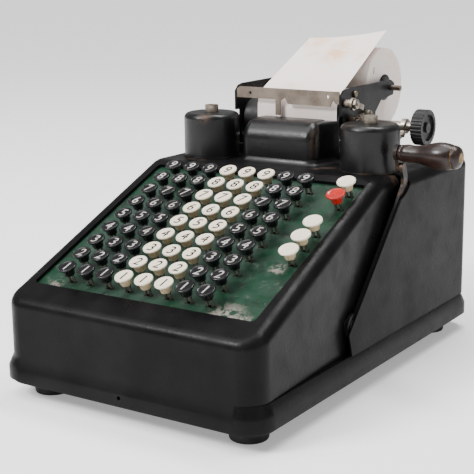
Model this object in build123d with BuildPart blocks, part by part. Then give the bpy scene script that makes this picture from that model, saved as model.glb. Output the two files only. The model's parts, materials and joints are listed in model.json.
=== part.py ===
from build123d import *
from math import atan, cos, degrees, radians, sin, tan
import os

os.makedirs("parts", exist_ok=True)

# A portable, hand-cranked, full-keyboard adding machine.
# Lengths are in millimetres.  The machine's own datum is: x = 0 on the middle of the casing
# (+x to the operator's right), depth 0 on the front face of the base flange (+depth to the
# back) and height 0 on the table.  MID_X and FRONT_Y shift that datum so that the finished
# model stands with the middle of its whole footprint on the origin.

# ---- casing -------------------------------------------------------------------------------
BASE_W = 249.6
BASE_D = 377.4
BASE_R = 23.0
FOOT_H = 13.0
FOOT_R = 16.0
FOOT_X = 95.0
FOOT_DEPTHS = (33.0, 342.0)
PAN_INSET = 3.6
PAN_T = 3.0
FLANGE_TOP = 25.6
WALL_FOOT = 35.2
WALL_INSET = 4.4
FRONT_TOP = 81.2
DECK_Z = 164.8
SLOPE = radians(22.5)
CREASE_R = 25.0
EDGE_R = 10.0
SHELL = 3.0
RIGHT_WALL_LEAN = 0.038
RIGHT_WALL_BEND = 228.0
RIGHT_WALL_BEND_R = 200.0

# ---- keyboard -----------------------------------------------------------------------------
COLUMNS = 8
ROWS = 9
KEY_PITCH_X = 19.05
KEY_PITCH_S = 19.59
FIRST_COLUMN_X = -75.5
FIRST_ROW_S = 36.9
CAP_R = 7.5
CAP_TOP = 13.0
CAP_BOTTOM = 4.5
FUNCTION_X = 94.6
FUNCTION_ROWS = {"front": 3.11, "middle": 4.11, "upper": 5.11, "red": 7.10, "rear": 8.07}
FUNCTION_CAP_R = 7.9
PLATE_DROP = 3.0
PLATE_T = 1.5
STEM_W = 6.6
STEM_T = 1.4
STEM_GAP = 2.6
STEM_BOTTOM = -22.0
STEM_TOP = 6.4

# ---- crank --------------------------------------------------------------------------------
PIVOT = (148.0, 58.0)
SHAFT_R = 6.0
ARM_X = 117.2
ARM_T = 2.6
GRIP_AXIS = (231.5, 184.6)
EYE_X = 113.3
EYE_T = 3.2
GRIP_END_X = 171.0
COVER_X = 120.1
COVER_T = 1.8

# ---- printing carriage --------------------------------------------------------------------
PLATEN = (290.0, 198.0)
PLATEN_R = 16.0
PLATEN_SHAFT_R = 4.0
ROLL = (366.0, 221.5)
ROLL_R = 37.0
PAPER_X = (-48.3, 34.3)
PAPER_T = 0.3
SPINDLE_R = 2.5
LEFT_PLATE_X = -70.0
RIGHT_PLATE_X = 39.5
SIDE_PLATE_T = 2.5
KNOB_R = 15.5
KNOB_X = (104.5, 115.0)
SPOOL_LEFT = (-81.8, 247.3)
SPOOL_RIGHT = (81.0, 247.3)
SPOOL_COVER_R = 25.4
SPOOL_COVER_H = 40.0
HOOD_X = (-43.5, 30.5)
HOOD_DEPTH = (236.0, 267.5)
HOOD_TOP = 202.0

# ---- the datum and its planes -------------------------------------------------------------
MID_X = -(GRIP_END_X - BASE_W / 2) / 2
FRONT_Y = -(ROLL[0] + ROLL_R) / 2


def level(height):
    """A horizontal plane: sketch x is x, sketch y is depth."""
    return Plane(origin=(MID_X, FRONT_Y, height))


def across(x):
    """A plane facing the operator's right: sketch x is depth, sketch y is height."""
    return Plane(origin=(MID_X + x, FRONT_Y, 0), x_dir=(0, 1, 0), z_dir=(1, 0, 0))


def facing(depth):
    """A plane facing the operator: sketch x is x, sketch y is height."""
    return Plane(origin=(MID_X, FRONT_Y + depth, 0), x_dir=(1, 0, 0), z_dir=(0, -1, 0))


def slope(rise):
    """A plane parallel to the sloping key panel: sketch y runs up the slope."""
    origin = (MID_X, FRONT_Y + WALL_INSET - rise * sin(SLOPE), FRONT_TOP + rise * cos(SLOPE))
    return Plane(origin=origin, x_dir=(1, 0, 0), z_dir=(0, -sin(SLOPE), cos(SLOPE)))


# ---- casing -------------------------------------------------------------------------------
WALL_W = BASE_W - 2 * WALL_INSET
WALL_R = BASE_R - WALL_INSET
WALL_BACK = BASE_D - WALL_INSET
MOLDING_TAPER = degrees(atan(WALL_INSET / (WALL_FOOT - FLANGE_TOP)))


def right_wall_x(depth):
    """The right wall leans in towards the bend, to let the crank arm pass beside it."""
    return WALL_W / 2 - RIGHT_WALL_LEAN * (min(depth, RIGHT_WALL_BEND) - WALL_INSET)


def slope_height(depth):
    return FRONT_TOP + (depth - WALL_INSET) * tan(SLOPE)


DECK_FRONT = WALL_INSET + (DECK_Z - FRONT_TOP) / tan(SLOPE)

# the hollow inside the casing, open at the bottom
CAVITY_X = (-WALL_W / 2 + SHELL, right_wall_x(WALL_BACK) - SHELL)
SLOPE_SHELL = SHELL / cos(SLOPE)
with BuildPart() as cavity:
    with BuildSketch(level(FOOT_H)):
        with Locations((sum(CAVITY_X) / 2, BASE_D / 2)):
            RectangleRounded(CAVITY_X[1] - CAVITY_X[0], BASE_D - 2 * (WALL_INSET + SHELL), WALL_R - SHELL)
    extrude(amount=DECK_Z - SHELL - FOOT_H)
    with BuildSketch(across(-BASE_W)):
        with BuildLine():
            Polyline(
                (-BASE_R, slope_height(-BASE_R) - SLOPE_SHELL),
                (DECK_FRONT + BASE_R, slope_height(DECK_FRONT + BASE_R) - SLOPE_SHELL),
                (-BASE_R, slope_height(DECK_FRONT + BASE_R)),
                close=True,
            )
        make_face()
    extrude(amount=2 * BASE_W, mode=Mode.SUBTRACT)

# one casting: flange, moulding, walls, sloping key panel and flat deck, cut back at the right
# rear where the side cover laps over it
LEDGE_Z = 150.0
COVER_LAP_X = 102.0
COVER_LAP_DEPTH = 242.0
COVER_BACK_X = 93.0
COVER_BACK_DEPTH = 354.0
FRONT_HOLE_Z = 22.0
FRONT_HOLE_R = 1.6
FRONT_HOLE_DEPTH = 4.0
WINDOW_X = (-106.4, 103.2)
WINDOW_S = (25.5, 209.7)
TYPE_WELL_X = (-40.0, 27.0)
TYPE_WELL_DEPTH = (240.0, 268.5)
with BuildPart() as housing:
    with BuildSketch(level(FOOT_H + PAN_T)):
        with Locations((0, BASE_D / 2)):
            RectangleRounded(BASE_W, BASE_D, BASE_R)
    extrude(amount=FLANGE_TOP - FOOT_H - PAN_T)
    with BuildSketch(level(FLANGE_TOP)):
        with Locations((0, BASE_D / 2)):
            RectangleRounded(BASE_W, BASE_D, BASE_R)
    extrude(amount=WALL_FOOT - FLANGE_TOP, taper=MOLDING_TAPER)
    with BuildSketch(level(WALL_FOOT)) as wall_plan:
        with BuildLine():
            Polyline(
                (-WALL_W / 2, WALL_INSET),
                (right_wall_x(WALL_INSET), WALL_INSET),
                (right_wall_x(RIGHT_WALL_BEND), RIGHT_WALL_BEND),
                (right_wall_x(WALL_BACK), WALL_BACK),
                (-WALL_W / 2, WALL_BACK),
                close=True,
            )
        make_face()
        bend_point = (right_wall_x(RIGHT_WALL_BEND), RIGHT_WALL_BEND, 0)
        fillet(wall_plan.vertices().sort_by_distance(bend_point)[1:], WALL_R)
        fillet(wall_plan.vertices().sort_by_distance(bend_point)[0], RIGHT_WALL_BEND_R)
    extrude(amount=DECK_Z - WALL_FOOT)
    with BuildSketch(across(-BASE_W)) as above_slope:
        with BuildLine():
            Polyline(
                (-BASE_R, slope_height(-BASE_R)),
                (DECK_FRONT, DECK_Z),
                (BASE_D + BASE_R, DECK_Z),
                (BASE_D + BASE_R, DECK_Z + BASE_R),
                (-BASE_R, DECK_Z + BASE_R),
                close=True,
            )
        make_face()
        crease = above_slope.vertices().sort_by_distance((DECK_FRONT, DECK_Z, 0))[0]
        fillet(crease, CREASE_R)
    extrude(amount=2 * BASE_W, mode=Mode.SUBTRACT)
    upper_faces = housing.faces().filter_by(lambda face: face.normal_at().Z > 0.5 and face.area > 500)
    upper_faces = upper_faces.filter_by(lambda face: face.center().Z > FRONT_TOP)
    rim = [edge for face in upper_faces for edge in face.edges()]
    rim = ShapeList(edge for edge in rim if sum(edge.is_same(other) for other in rim) == 1)
    fillet(rim, EDGE_R)
    add(cavity.part, mode=Mode.SUBTRACT)
    with BuildSketch(slope(-2 * SHELL)):
        with Locations((sum(WINDOW_X) / 2, sum(WINDOW_S) / 2)):
            RectangleRounded(WINDOW_X[1] - WINDOW_X[0], WINDOW_S[1] - WINDOW_S[0], 4)
    extrude(amount=4 * SHELL, mode=Mode.SUBTRACT)
    with BuildSketch(level(DECK_Z - 2 * SHELL)):
        with Locations((sum(TYPE_WELL_X) / 2, sum(TYPE_WELL_DEPTH) / 2)):
            Rectangle(TYPE_WELL_X[1] - TYPE_WELL_X[0], TYPE_WELL_DEPTH[1] - TYPE_WELL_DEPTH[0])
    extrude(amount=4 * SHELL, mode=Mode.SUBTRACT)
    with BuildSketch(across(BASE_W / 4)):
        with Locations(PIVOT):
            Circle(SHAFT_R + 2)
    extrude(amount=BASE_W / 4, mode=Mode.SUBTRACT)
    with BuildSketch(facing(0)):
        with Locations((0, FRONT_HOLE_Z)):
            Circle(FRONT_HOLE_R)
    extrude(amount=-FRONT_HOLE_DEPTH, mode=Mode.SUBTRACT)
    with BuildSketch(level(LEDGE_Z)):
        with Locations((COVER_LAP_X + BASE_W / 4, COVER_LAP_DEPTH + BASE_D / 2)):
            Rectangle(BASE_W / 2, BASE_D)
    extrude(amount=BASE_W, mode=Mode.SUBTRACT)
    with BuildSketch(level(WALL_FOOT)):
        with Locations((COVER_BACK_X + BASE_W / 4, COVER_BACK_DEPTH + BASE_D / 2)):
            Rectangle(BASE_W / 2, BASE_D)
    extrude(amount=BASE_W, mode=Mode.SUBTRACT)
housing.part.label = "housing"
export_step(housing.part, "parts/housing.step")

# screwed-on pressed steel bottom, four rubber feet and their screws
FOOT_SPOTS = [(x, depth) for x in (-FOOT_X, FOOT_X) for depth in FOOT_DEPTHS]
FOOT_SCREW_R = 2.0
FOOT_HEAD_R = 4.5
FOOT_HEAD_T = 2.4
FOOT_NUT_R = 4.0
FOOT_NUT_T = 2.5
FOOT_TAPER = 5
with BuildPart() as base_plate:
    with BuildSketch(level(FOOT_H)):
        with Locations((0, BASE_D / 2)):
            RectangleRounded(BASE_W - 2 * PAN_INSET, BASE_D - 2 * PAN_INSET, BASE_R - PAN_INSET)
        with Locations(*FOOT_SPOTS):
            Circle(FOOT_SCREW_R + 0.1, mode=Mode.SUBTRACT)
    extrude(amount=PAN_T)
base_plate.part.label = "base_plate"
export_step(base_plate.part, "parts/base_plate.step")

FOOT_RECESS_R = 6.0
FOOT_RECESS_H = 6.0
with BuildPart() as rubber_feet:
    for spot in FOOT_SPOTS:
        with BuildSketch(level(FOOT_H)):
            with Locations(spot):
                Circle(FOOT_R)
        extrude(amount=-FOOT_H, taper=FOOT_TAPER)
    with BuildSketch(level(0)):
        with Locations(*FOOT_SPOTS):
            Circle(FOOT_SCREW_R + 0.1)
    extrude(amount=FOOT_H, mode=Mode.SUBTRACT)
    with BuildSketch(level(0)):
        with Locations(*FOOT_SPOTS):
            Circle(FOOT_RECESS_R)
    extrude(amount=FOOT_RECESS_H, mode=Mode.SUBTRACT)
rubber_feet.part.label = "rubber_feet"
export_step(rubber_feet.part, "parts/rubber_feet.step")

with BuildPart() as foot_screws:
    with BuildSketch(level(FOOT_RECESS_H)):
        with Locations(*FOOT_SPOTS):
            Circle(FOOT_SCREW_R)
    extrude(amount=FOOT_H)
    with BuildSketch(level(FOOT_RECESS_H)):
        with Locations(*FOOT_SPOTS):
            Circle(FOOT_HEAD_R)
    extrude(amount=-FOOT_HEAD_T)
    with BuildSketch(level(FOOT_H + PAN_T)):
        with Locations(*FOOT_SPOTS):
            RegularPolygon(FOOT_NUT_R, 6)
    extrude(amount=FOOT_NUT_T)
foot_screws.part.label = "foot_screws"
export_step(foot_screws.part, "parts/foot_screws.step")

# ---- keyboard -----------------------------------------------------------------------------
COLUMN_X = [FIRST_COLUMN_X + KEY_PITCH_X * column for column in range(COLUMNS)]
ROW_S = [FIRST_ROW_S + KEY_PITCH_S * row for row in range(ROWS)]
FUNCTION_S = {name: FIRST_ROW_S + KEY_PITCH_S * row for name, row in FUNCTION_ROWS.items()}
KEY_SPOTS = [(x, s) for x in COLUMN_X for s in ROW_S]
ALL_SPOTS = KEY_SPOTS + [(FUNCTION_X, s) for s in FUNCTION_S.values()]
SLOT_W = STEM_W + 1.0
SLOT_T = STEM_T + 1.2
KEY_PLATE_SIZE = (216.0, 194.0)
KEY_PLATE_MIDDLE = (-3.0, 117.5)
GUIDE_PLATE_SIZE = (202.0, 186.0)
GUIDE_PLATE_MIDDLE = (0.0, 117.5)
GUIDE_RISE = -17.0

# the enamelled key plate and, lower down, the comb that guides the feet of the key stems
with BuildPart() as key_plate:
    with BuildSketch(slope(-PLATE_DROP)):
        with Locations(KEY_PLATE_MIDDLE):
            Rectangle(*KEY_PLATE_SIZE)
        with Locations(*ALL_SPOTS):
            Rectangle(SLOT_W, SLOT_T, mode=Mode.SUBTRACT)
    extrude(amount=-PLATE_T)
key_plate.part.label = "key_plate"
export_step(key_plate.part, "parts/key_plate.step")

with BuildPart() as stem_guide_plate:
    with BuildSketch(slope(GUIDE_RISE)):
        with Locations(GUIDE_PLATE_MIDDLE):
            Rectangle(*GUIDE_PLATE_SIZE)
        with Locations(*ALL_SPOTS):
            Rectangle(SLOT_W, SLOT_T, mode=Mode.SUBTRACT)
    extrude(amount=-PLATE_T)
stem_guide_plate.part.label = "stem_guide_plate"
export_step(stem_guide_plate.part, "parts/stem_guide_plate.step")

NECK_TOP_R = 5.4
NECK_BOTTOM_R = 4.3
CAP_LIP = 2.0
CAP_DISH = 0.5


def key_cap(radius):
    """A button with a dished top, a rounded lip, a tapering neck and a socket for its stem."""
    with BuildPart() as cap:
        with BuildSketch(Plane.XZ):
            with BuildLine():
                Polyline(
                    (0, CAP_TOP - CAP_DISH),
                    (radius - 2.0, CAP_TOP - CAP_DISH),
                    (radius - 1.2, CAP_TOP),
                    (radius - 0.5, CAP_TOP),
                    (radius, CAP_TOP - 0.5),
                    (radius, CAP_TOP - CAP_LIP + 0.3),
                    (radius - 0.6, CAP_TOP - CAP_LIP),
                    (NECK_TOP_R, CAP_TOP - CAP_LIP - 0.5),
                    (NECK_BOTTOM_R, CAP_BOTTOM),
                    (0, CAP_BOTTOM),
                    close=True,
                )
            make_face()
        revolve(axis=Axis.Z)
        with BuildSketch(Plane.XY.offset(CAP_BOTTOM)):
            Rectangle(STEM_W, STEM_T)
        extrude(amount=STEM_TOP - CAP_BOTTOM, mode=Mode.SUBTRACT)
    return cap.part


def key_stem():
    """A flat steel stamping with two legs, which runs down through plate and comb."""
    with BuildPart() as stem:
        with BuildSketch(Plane.XZ):
            with Locations((0, (STEM_TOP + STEM_BOTTOM) / 2)):
                Rectangle(STEM_W, STEM_TOP - STEM_BOTTOM)
            with Locations((0, STEM_BOTTOM)):
                Rectangle(STEM_GAP, 2 * (CAP_BOTTOM - STEM_BOTTOM - 1.0), mode=Mode.SUBTRACT)
        extrude(amount=STEM_T / 2, both=True)
    return stem.part


number_cap = key_cap(CAP_R)
function_cap = key_cap(FUNCTION_CAP_R)
stem_shape = key_stem()

for column, x in enumerate(COLUMN_X, start=1):
    spots = [slope(0).location * Location((x, s, 0)) for s in ROW_S]
    with BuildPart() as key_caps:
        with Locations(*spots):
            add(number_cap)
    key_caps.part.label = f"key_caps_column_{column}"
    export_step(key_caps.part, f"parts/key_caps_column_{column}.step")
    with BuildPart() as key_stems:
        with Locations(*spots):
            add(stem_shape)
    key_stems.part.label = f"key_stems_column_{column}"
    export_step(key_stems.part, f"parts/key_stems_column_{column}.step")

for name, s in FUNCTION_S.items():
    with BuildPart() as function_key:
        with Locations(slope(0).location * Location((FUNCTION_X, s, 0))):
            add(function_cap)
    function_parts = [function_key.part, stem_shape.moved(slope(0).location * Location((FUNCTION_X, s, 0)))]
    function_assembly = Compound(label=f"function_key_{name}", children=function_parts)
    export_step(function_assembly, f"parts/function_key_{name}.step")

# ---- works under the keyboard -------------------------------------------------------------
FRAME_X = 101.5
FRAME_T = 2.5
FRAME_RODS = ((30.0, 40.0), (120.0, 30.0), (225.0, 30.0), (330.0, 60.0), (300.0, 140.0))
ROD_R = 3.5
ACCUMULATOR = (235.0, 75.0)
ACCUMULATOR_R = 4.0
BORE_GAP = 0.05
LIGHTENING_HOLES = ((250.0, 115.0), (300.0, 95.0))
LIGHTENING_R = 18.0
FRAME_OUTLINE = (
    (18, FOOT_H + PAN_T),
    (18, 52),
    (188, 122.5),
    (225, 150),
    (352, 150),
    (352, FOOT_H + PAN_T),
)

# two steel side frames that carry every cross shaft
with BuildPart() as side_frames:
    for x in (-FRAME_X, FRAME_X - FRAME_T):
        with BuildSketch(across(x)):
            with BuildLine():
                Polyline(*FRAME_OUTLINE, close=True)
            make_face()
            with Locations(*LIGHTENING_HOLES):
                Circle(LIGHTENING_R, mode=Mode.SUBTRACT)
            with Locations(*FRAME_RODS):
                Circle(ROD_R, mode=Mode.SUBTRACT)
            with Locations(PIVOT):
                Circle(SHAFT_R + BORE_GAP, mode=Mode.SUBTRACT)
            with Locations(ACCUMULATOR):
                Circle(ACCUMULATOR_R + BORE_GAP, mode=Mode.SUBTRACT)
        extrude(amount=FRAME_T)
side_frames.part.label = "side_frames"
export_step(side_frames.part, "parts/side_frames.step")

with BuildPart() as frame_rods:
    with BuildSketch(across(-FRAME_X - 1.5)):
        with Locations(*FRAME_RODS):
            Circle(ROD_R)
    extrude(amount=2 * FRAME_X + 3)
frame_rods.part.label = "frame_rods"
export_step(frame_rods.part, "parts/frame_rods.step")

# the crank turns this shaft, and its bail sweeps back across the columns to reset them
with BuildPart() as main_shaft:
    with BuildSketch(across(-FRAME_X - 3)):
        with Locations(PIVOT):
            Circle(SHAFT_R)
    extrude(amount=FRAME_X + 3 + ARM_X + ARM_T)
main_shaft.part.label = "main_shaft"
export_step(main_shaft.part, "parts/main_shaft.step")

BAIL_REACH = 40.0
BAIL_T = 4.0
BAIL_ARM_W = 11.0
BAIL_END_R = 7.0
BAIL_HUB_R = 12.0
BAIL_ROD_R = 3.0
BAIL_ANGLE = radians(25)
BAIL_ROD = (PIVOT[0] + BAIL_REACH * cos(BAIL_ANGLE), PIVOT[1] + BAIL_REACH * sin(BAIL_ANGLE))
BAIL_X = 90.0
with BuildPart() as reset_bail:
    for x in (-BAIL_X, BAIL_X - BAIL_T):
        with BuildSketch(across(x)):
            with Locations(PIVOT):
                Circle(BAIL_HUB_R)
            with Locations(BAIL_ROD):
                Circle(BAIL_END_R)
            with BuildLine():
                Polyline(PIVOT, BAIL_ROD)
            trace(line_width=BAIL_ARM_W)
            with Locations(PIVOT):
                Circle(SHAFT_R, mode=Mode.SUBTRACT)
        extrude(amount=BAIL_T)
    with BuildSketch(across(-BAIL_X)):
        with Locations(BAIL_ROD):
            Circle(BAIL_ROD_R)
    extrude(amount=2 * BAIL_X)
reset_bail.part.label = "reset_bail"
export_step(reset_bail.part, "parts/reset_bail.step")

# the accumulator: one toothed adding wheel for each column on a shaft of its own
TYPE_PITCH = 8.0
TYPE_X = [sum(TYPE_WELL_X) / 2 + TYPE_PITCH * (column - (COLUMNS - 1) / 2) for column in range(COLUMNS)]
WHEEL_R = 12.0
WHEEL_TEETH = 20
WHEEL_T = 3.0
TOOTH_W = 1.8
TOOTH_H = 2.6
with BuildPart() as adding_wheels:
    with BuildSketch(across(-FRAME_X - 2)):
        with Locations(ACCUMULATOR):
            Circle(ACCUMULATOR_R)
    extrude(amount=2 * FRAME_X + 4)
    for x in COLUMN_X:
        with BuildSketch(across(x - WHEEL_T / 2)):
            with Locations(ACCUMULATOR):
                Circle(WHEEL_R - 1.5)
                with PolarLocations(WHEEL_R - 1.2, WHEEL_TEETH):
                    Rectangle(TOOTH_H, TOOTH_W)
        extrude(amount=WHEEL_T)
adding_wheels.part.label = "adding_wheels"
export_step(adding_wheels.part, "parts/adding_wheels.step")

# type bars, which the crank lifts to the printing line, and the comb that guides them
TYPE_DEPTH = (262.0, 267.0)
TYPE_BAR_Z = (92.0, 184.0)
TYPE_BAR_T = 2.0
with BuildPart() as type_bars:
    for x in TYPE_X:
        with BuildSketch(across(x - TYPE_BAR_T / 2)):
            with Locations((sum(TYPE_DEPTH) / 2, sum(TYPE_BAR_Z) / 2)):
                Rectangle(TYPE_DEPTH[1] - TYPE_DEPTH[0], TYPE_BAR_Z[1] - TYPE_BAR_Z[0])
        extrude(amount=TYPE_BAR_T)
type_bars.part.label = "type_bars"
export_step(type_bars.part, "parts/type_bars.step")

COMB_Z = (130.0, 134.0)
COMB_DEPTH = 22.0
COMB_GAP = 0.8
with BuildPart() as type_bar_comb:
    with BuildSketch(level(COMB_Z[0])):
        with Locations((0, sum(TYPE_DEPTH) / 2)):
            Rectangle(2 * (FRAME_X - FRAME_T), COMB_DEPTH)
        with Locations(*[(x, sum(TYPE_DEPTH) / 2) for x in TYPE_X]):
            Rectangle(TYPE_BAR_T + COMB_GAP, TYPE_DEPTH[1] - TYPE_DEPTH[0] + COMB_GAP, mode=Mode.SUBTRACT)
    extrude(amount=COMB_Z[1] - COMB_Z[0])
type_bar_comb.part.label = "type_bar_comb"
export_step(type_bar_comb.part, "parts/type_bar_comb.step")

# the spring that pulls the crank home, stretched along the left frame
SPRING_R = 4.5
SPRING_WIRE = 0.7
SPRING_LENGTH = 96.0
SPRING_TURNS = 16
SPRING_START = (MID_X - FRAME_X + FRAME_T + 7, FRONT_Y + 37.0, 45.0)
with BuildPart() as return_spring:
    with BuildLine() as coil:
        Helix(SPRING_LENGTH / SPRING_TURNS, SPRING_LENGTH, SPRING_R, center=SPRING_START, direction=(0, 1, 0))
    with BuildSketch(Plane(origin=coil.line @ 0, z_dir=coil.line % 0)):
        Circle(SPRING_WIRE)
    sweep()
return_spring.part.label = "return_spring"
export_step(return_spring.part, "parts/return_spring.step")

# ---- crank and side cover -----------------------------------------------------------------
ARM_W = 7.6
ARM_TOP = (233.5, 172.2)
ARM_HUB_R = 10.5
ARM_BENDS = ((227.5, 145.0), (237.0, 156.5), (236.5, 165.5))
ARM_BEND_RADII = (60, 9, 8)
EYE_R = 6.8
CRANK_SPINDLE_R = 3.0
with BuildPart() as crank_arm:
    with BuildSketch(across(ARM_X)):
        with BuildLine():
            FilletPolyline(PIVOT, *ARM_BENDS, ARM_TOP, radius=ARM_BEND_RADII)
        trace(line_width=ARM_W)
        with Locations(PIVOT):
            Circle(ARM_HUB_R)
        with Locations(ARM_TOP):
            Circle(ARM_W / 2)
    extrude(amount=ARM_T)
    with BuildSketch(across(EYE_X)):
        with Locations(ARM_TOP):
            Circle(ARM_W / 2)
    extrude(amount=ARM_X + ARM_T - EYE_X)
    with BuildSketch(across(EYE_X)):
        with BuildLine():
            Polyline(ARM_TOP, GRIP_AXIS)
        trace(line_width=ARM_W)
        with Locations(GRIP_AXIS):
            Circle(EYE_R)
    extrude(amount=EYE_T)
    with BuildSketch(across(0)):
        with Locations(PIVOT):
            Circle(SHAFT_R)
        with Locations(GRIP_AXIS):
            Circle(CRANK_SPINDLE_R)
    extrude(amount=BASE_W, mode=Mode.SUBTRACT)
crank_arm.part.label = "crank_arm"
export_step(crank_arm.part, "parts/crank_arm.step")

# the steel spindle, riveted through the eye of the arm, on which the wooden grip turns
RIVET_T = 1.0
RIVET_SINK = 1.5
RIVET_END_X = GRIP_END_X - 0.2
RIVET_R = 4.2
RIVET_EYE_R = 5.0
with BuildPart() as crank_spindle:
    with BuildSketch(across(EYE_X - RIVET_T)):
        with Locations(GRIP_AXIS):
            Circle(CRANK_SPINDLE_R)
    extrude(amount=RIVET_END_X - EYE_X + RIVET_T)
    with BuildSketch(across(EYE_X - RIVET_T)):
        with Locations(GRIP_AXIS):
            Circle(RIVET_EYE_R)
    extrude(amount=RIVET_T)
    with BuildSketch(across(RIVET_END_X - RIVET_T)):
        with Locations(GRIP_AXIS):
            Circle(RIVET_R)
    extrude(amount=RIVET_T)
crank_spindle.part.label = "crank_spindle"
export_step(crank_spindle.part, "parts/crank_spindle.step")

GRIP_START_X = EYE_X + EYE_T + 0.3
GRIP_END_R = 5.0
grip_plane = Plane(
    origin=(MID_X, FRONT_Y + GRIP_AXIS[0], GRIP_AXIS[1]), x_dir=(1, 0, 0), z_dir=(0, -1, 0)
)
with BuildPart() as crank_grip:
    with BuildSketch(grip_plane):
        with BuildLine():
            swell = Spline(
                (GRIP_START_X, 6.6),
                (121, 7.5),
                (130, 7.0),
                (141, 9.2),
                (152, 11.5),
                (162, 10.5),
                (GRIP_END_X, GRIP_END_R),
                tangents=((0.3, 1), (0, -1)),
            )
            Line(swell @ 1, (GRIP_END_X, 0))
            Line((GRIP_END_X, 0), (GRIP_START_X, 0))
            Line((GRIP_START_X, 0), swell @ 0)
        make_face()
    revolve(axis=Axis(grip_plane.origin, (1, 0, 0)))
    with BuildSketch(across(0)):
        with Locations(GRIP_AXIS):
            Circle(CRANK_SPINDLE_R + BORE_GAP)
    extrude(amount=BASE_W, mode=Mode.SUBTRACT)
    with BuildSketch(across(GRIP_END_X - RIVET_SINK)):
        with Locations(GRIP_AXIS):
            Circle(RIVET_R + 0.2)
    extrude(amount=BASE_W, mode=Mode.SUBTRACT)
crank_grip.part.label = "crank_grip"
export_step(crank_grip.part, "parts/crank_grip.step")

# the pressed cover over the crank arm: outer side, top, back and foot, open along its front
COVER_OUT = COVER_X + COVER_T
COVER_LEFT = -WALL_W / 2
COVER_MID = (COVER_OUT + COVER_LEFT) / 2
COVER_FOOT_X = 115.6
COVER_ROOF_TAPER = 38
LAP_GAP = 0.1
COVER_TOP_DEPTH = 242.3
COVER_FRONT = (
    (142, 20),
    (142, WALL_FOOT),
    (136.7, 54),
    (225, 146.6),
    (236, 151.5),
    (COVER_TOP_DEPTH, 157),
    (COVER_TOP_DEPTH, 190),
)
with BuildPart() as side_cover:
    with BuildSketch(level(WALL_FOOT)):
        with Locations((COVER_MID, BASE_D / 2)):
            RectangleRounded(COVER_OUT - COVER_LEFT, BASE_D - 2 * WALL_INSET, WALL_R)
    extrude(amount=DECK_Z - WALL_FOOT)
    fillet(side_cover.faces().sort_by(Axis.Z)[-1].edges(), EDGE_R)
    with BuildSketch(level(WALL_FOOT + COVER_T)):
        with Locations((COVER_MID, BASE_D / 2)):
            RectangleRounded(
                COVER_OUT - COVER_LEFT - 2 * COVER_T,
                BASE_D - 2 * WALL_INSET - 2 * COVER_T,
                WALL_R - COVER_T,
            )
    extrude(amount=DECK_Z - WALL_FOOT - EDGE_R - COVER_T, mode=Mode.SUBTRACT)
    with BuildSketch(level(DECK_Z - EDGE_R)):
        with Locations((COVER_MID, BASE_D / 2)):
            RectangleRounded(
                COVER_OUT - COVER_LEFT - 2 * COVER_T,
                BASE_D - 2 * WALL_INSET - 2 * COVER_T,
                WALL_R - COVER_T,
            )
    extrude(amount=EDGE_R - COVER_T, taper=COVER_ROOF_TAPER, mode=Mode.SUBTRACT)
    with BuildSketch(across(COVER_LEFT)):
        with BuildLine():
            Polyline(*COVER_FRONT, (-BASE_R, 190), (-BASE_R, 20), close=True)
        make_face()
    extrude(amount=BASE_W, mode=Mode.SUBTRACT)
    with BuildSketch(level(WALL_FOOT)):
        with Locations((COVER_LEFT / 2 + right_wall_x(BASE_D) / 2 + LAP_GAP / 2, COVER_BACK_DEPTH / 2)):
            Rectangle(right_wall_x(BASE_D) + LAP_GAP - COVER_LEFT, COVER_BACK_DEPTH + LAP_GAP)
    extrude(amount=LEDGE_Z + LAP_GAP - WALL_FOOT, mode=Mode.SUBTRACT)
    with BuildSketch(level(WALL_FOOT)):
        with Locations((COVER_LEFT / 2 + COVER_FOOT_X / 2, RIGHT_WALL_BEND / 2)):
            Rectangle(COVER_FOOT_X - COVER_LEFT, RIGHT_WALL_BEND + 2 * COVER_T)
    extrude(amount=LEDGE_Z + LAP_GAP - WALL_FOOT, mode=Mode.SUBTRACT)
    with BuildSketch(level(WALL_FOOT)):
        with Locations((COVER_LEFT / 2 + COVER_LAP_X / 2 + LAP_GAP / 2, COVER_BACK_DEPTH / 2)):
            Rectangle(COVER_LAP_X + LAP_GAP - COVER_LEFT, COVER_BACK_DEPTH + LAP_GAP)
    extrude(amount=BASE_W, mode=Mode.SUBTRACT)
    with BuildSketch(level(WALL_FOOT)):
        with Locations((COVER_LEFT / 2 + COVER_BACK_X / 2 + LAP_GAP / 2, BASE_D / 2)):
            Rectangle(COVER_BACK_X + LAP_GAP - COVER_LEFT, 2 * BASE_D)
    extrude(amount=BASE_W, mode=Mode.SUBTRACT)
side_cover.part.label = "side_cover"
export_step(side_cover.part, "parts/side_cover.step")

# ---- type hood and ribbon spools ----------------------------------------------------------
HOOD_NOSE_R = 18.0
HOOD_SIDE_R = 8.0
HOOD_T = 1.6
with BuildPart() as hood:
    with BuildSketch(across(HOOD_X[0])) as hood_side:
        with BuildLine():
            Polyline(
                (HOOD_DEPTH[0], DECK_Z),
                (HOOD_DEPTH[0], HOOD_TOP),
                (HOOD_DEPTH[1], HOOD_TOP),
                (HOOD_DEPTH[1], DECK_Z),
                close=True,
            )
        make_face()
        nose = hood_side.vertices().sort_by_distance((HOOD_DEPTH[0], HOOD_TOP, 0))[0]
        fillet(nose, HOOD_NOSE_R)
    extrude(amount=HOOD_X[1] - HOOD_X[0])
    side_faces = hood.faces().sort_by(Axis.X)
    hood_edges = side_faces[0].edges() + side_faces[-1].edges()
    hood_edges = hood_edges.filter_by(
        lambda edge: edge.center().Z > DECK_Z + 1 and edge.center().Y < FRONT_Y + HOOD_DEPTH[1] - 1
    )
    fillet(hood_edges, HOOD_SIDE_R)
    open_faces = [hood.faces().sort_by(Axis.Z)[0], hood.faces().sort_by(Axis.Y)[-1]]
    offset(amount=-HOOD_T, openings=open_faces)
hood.part.label = "hood"
export_step(hood.part, "parts/hood.step")

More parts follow.
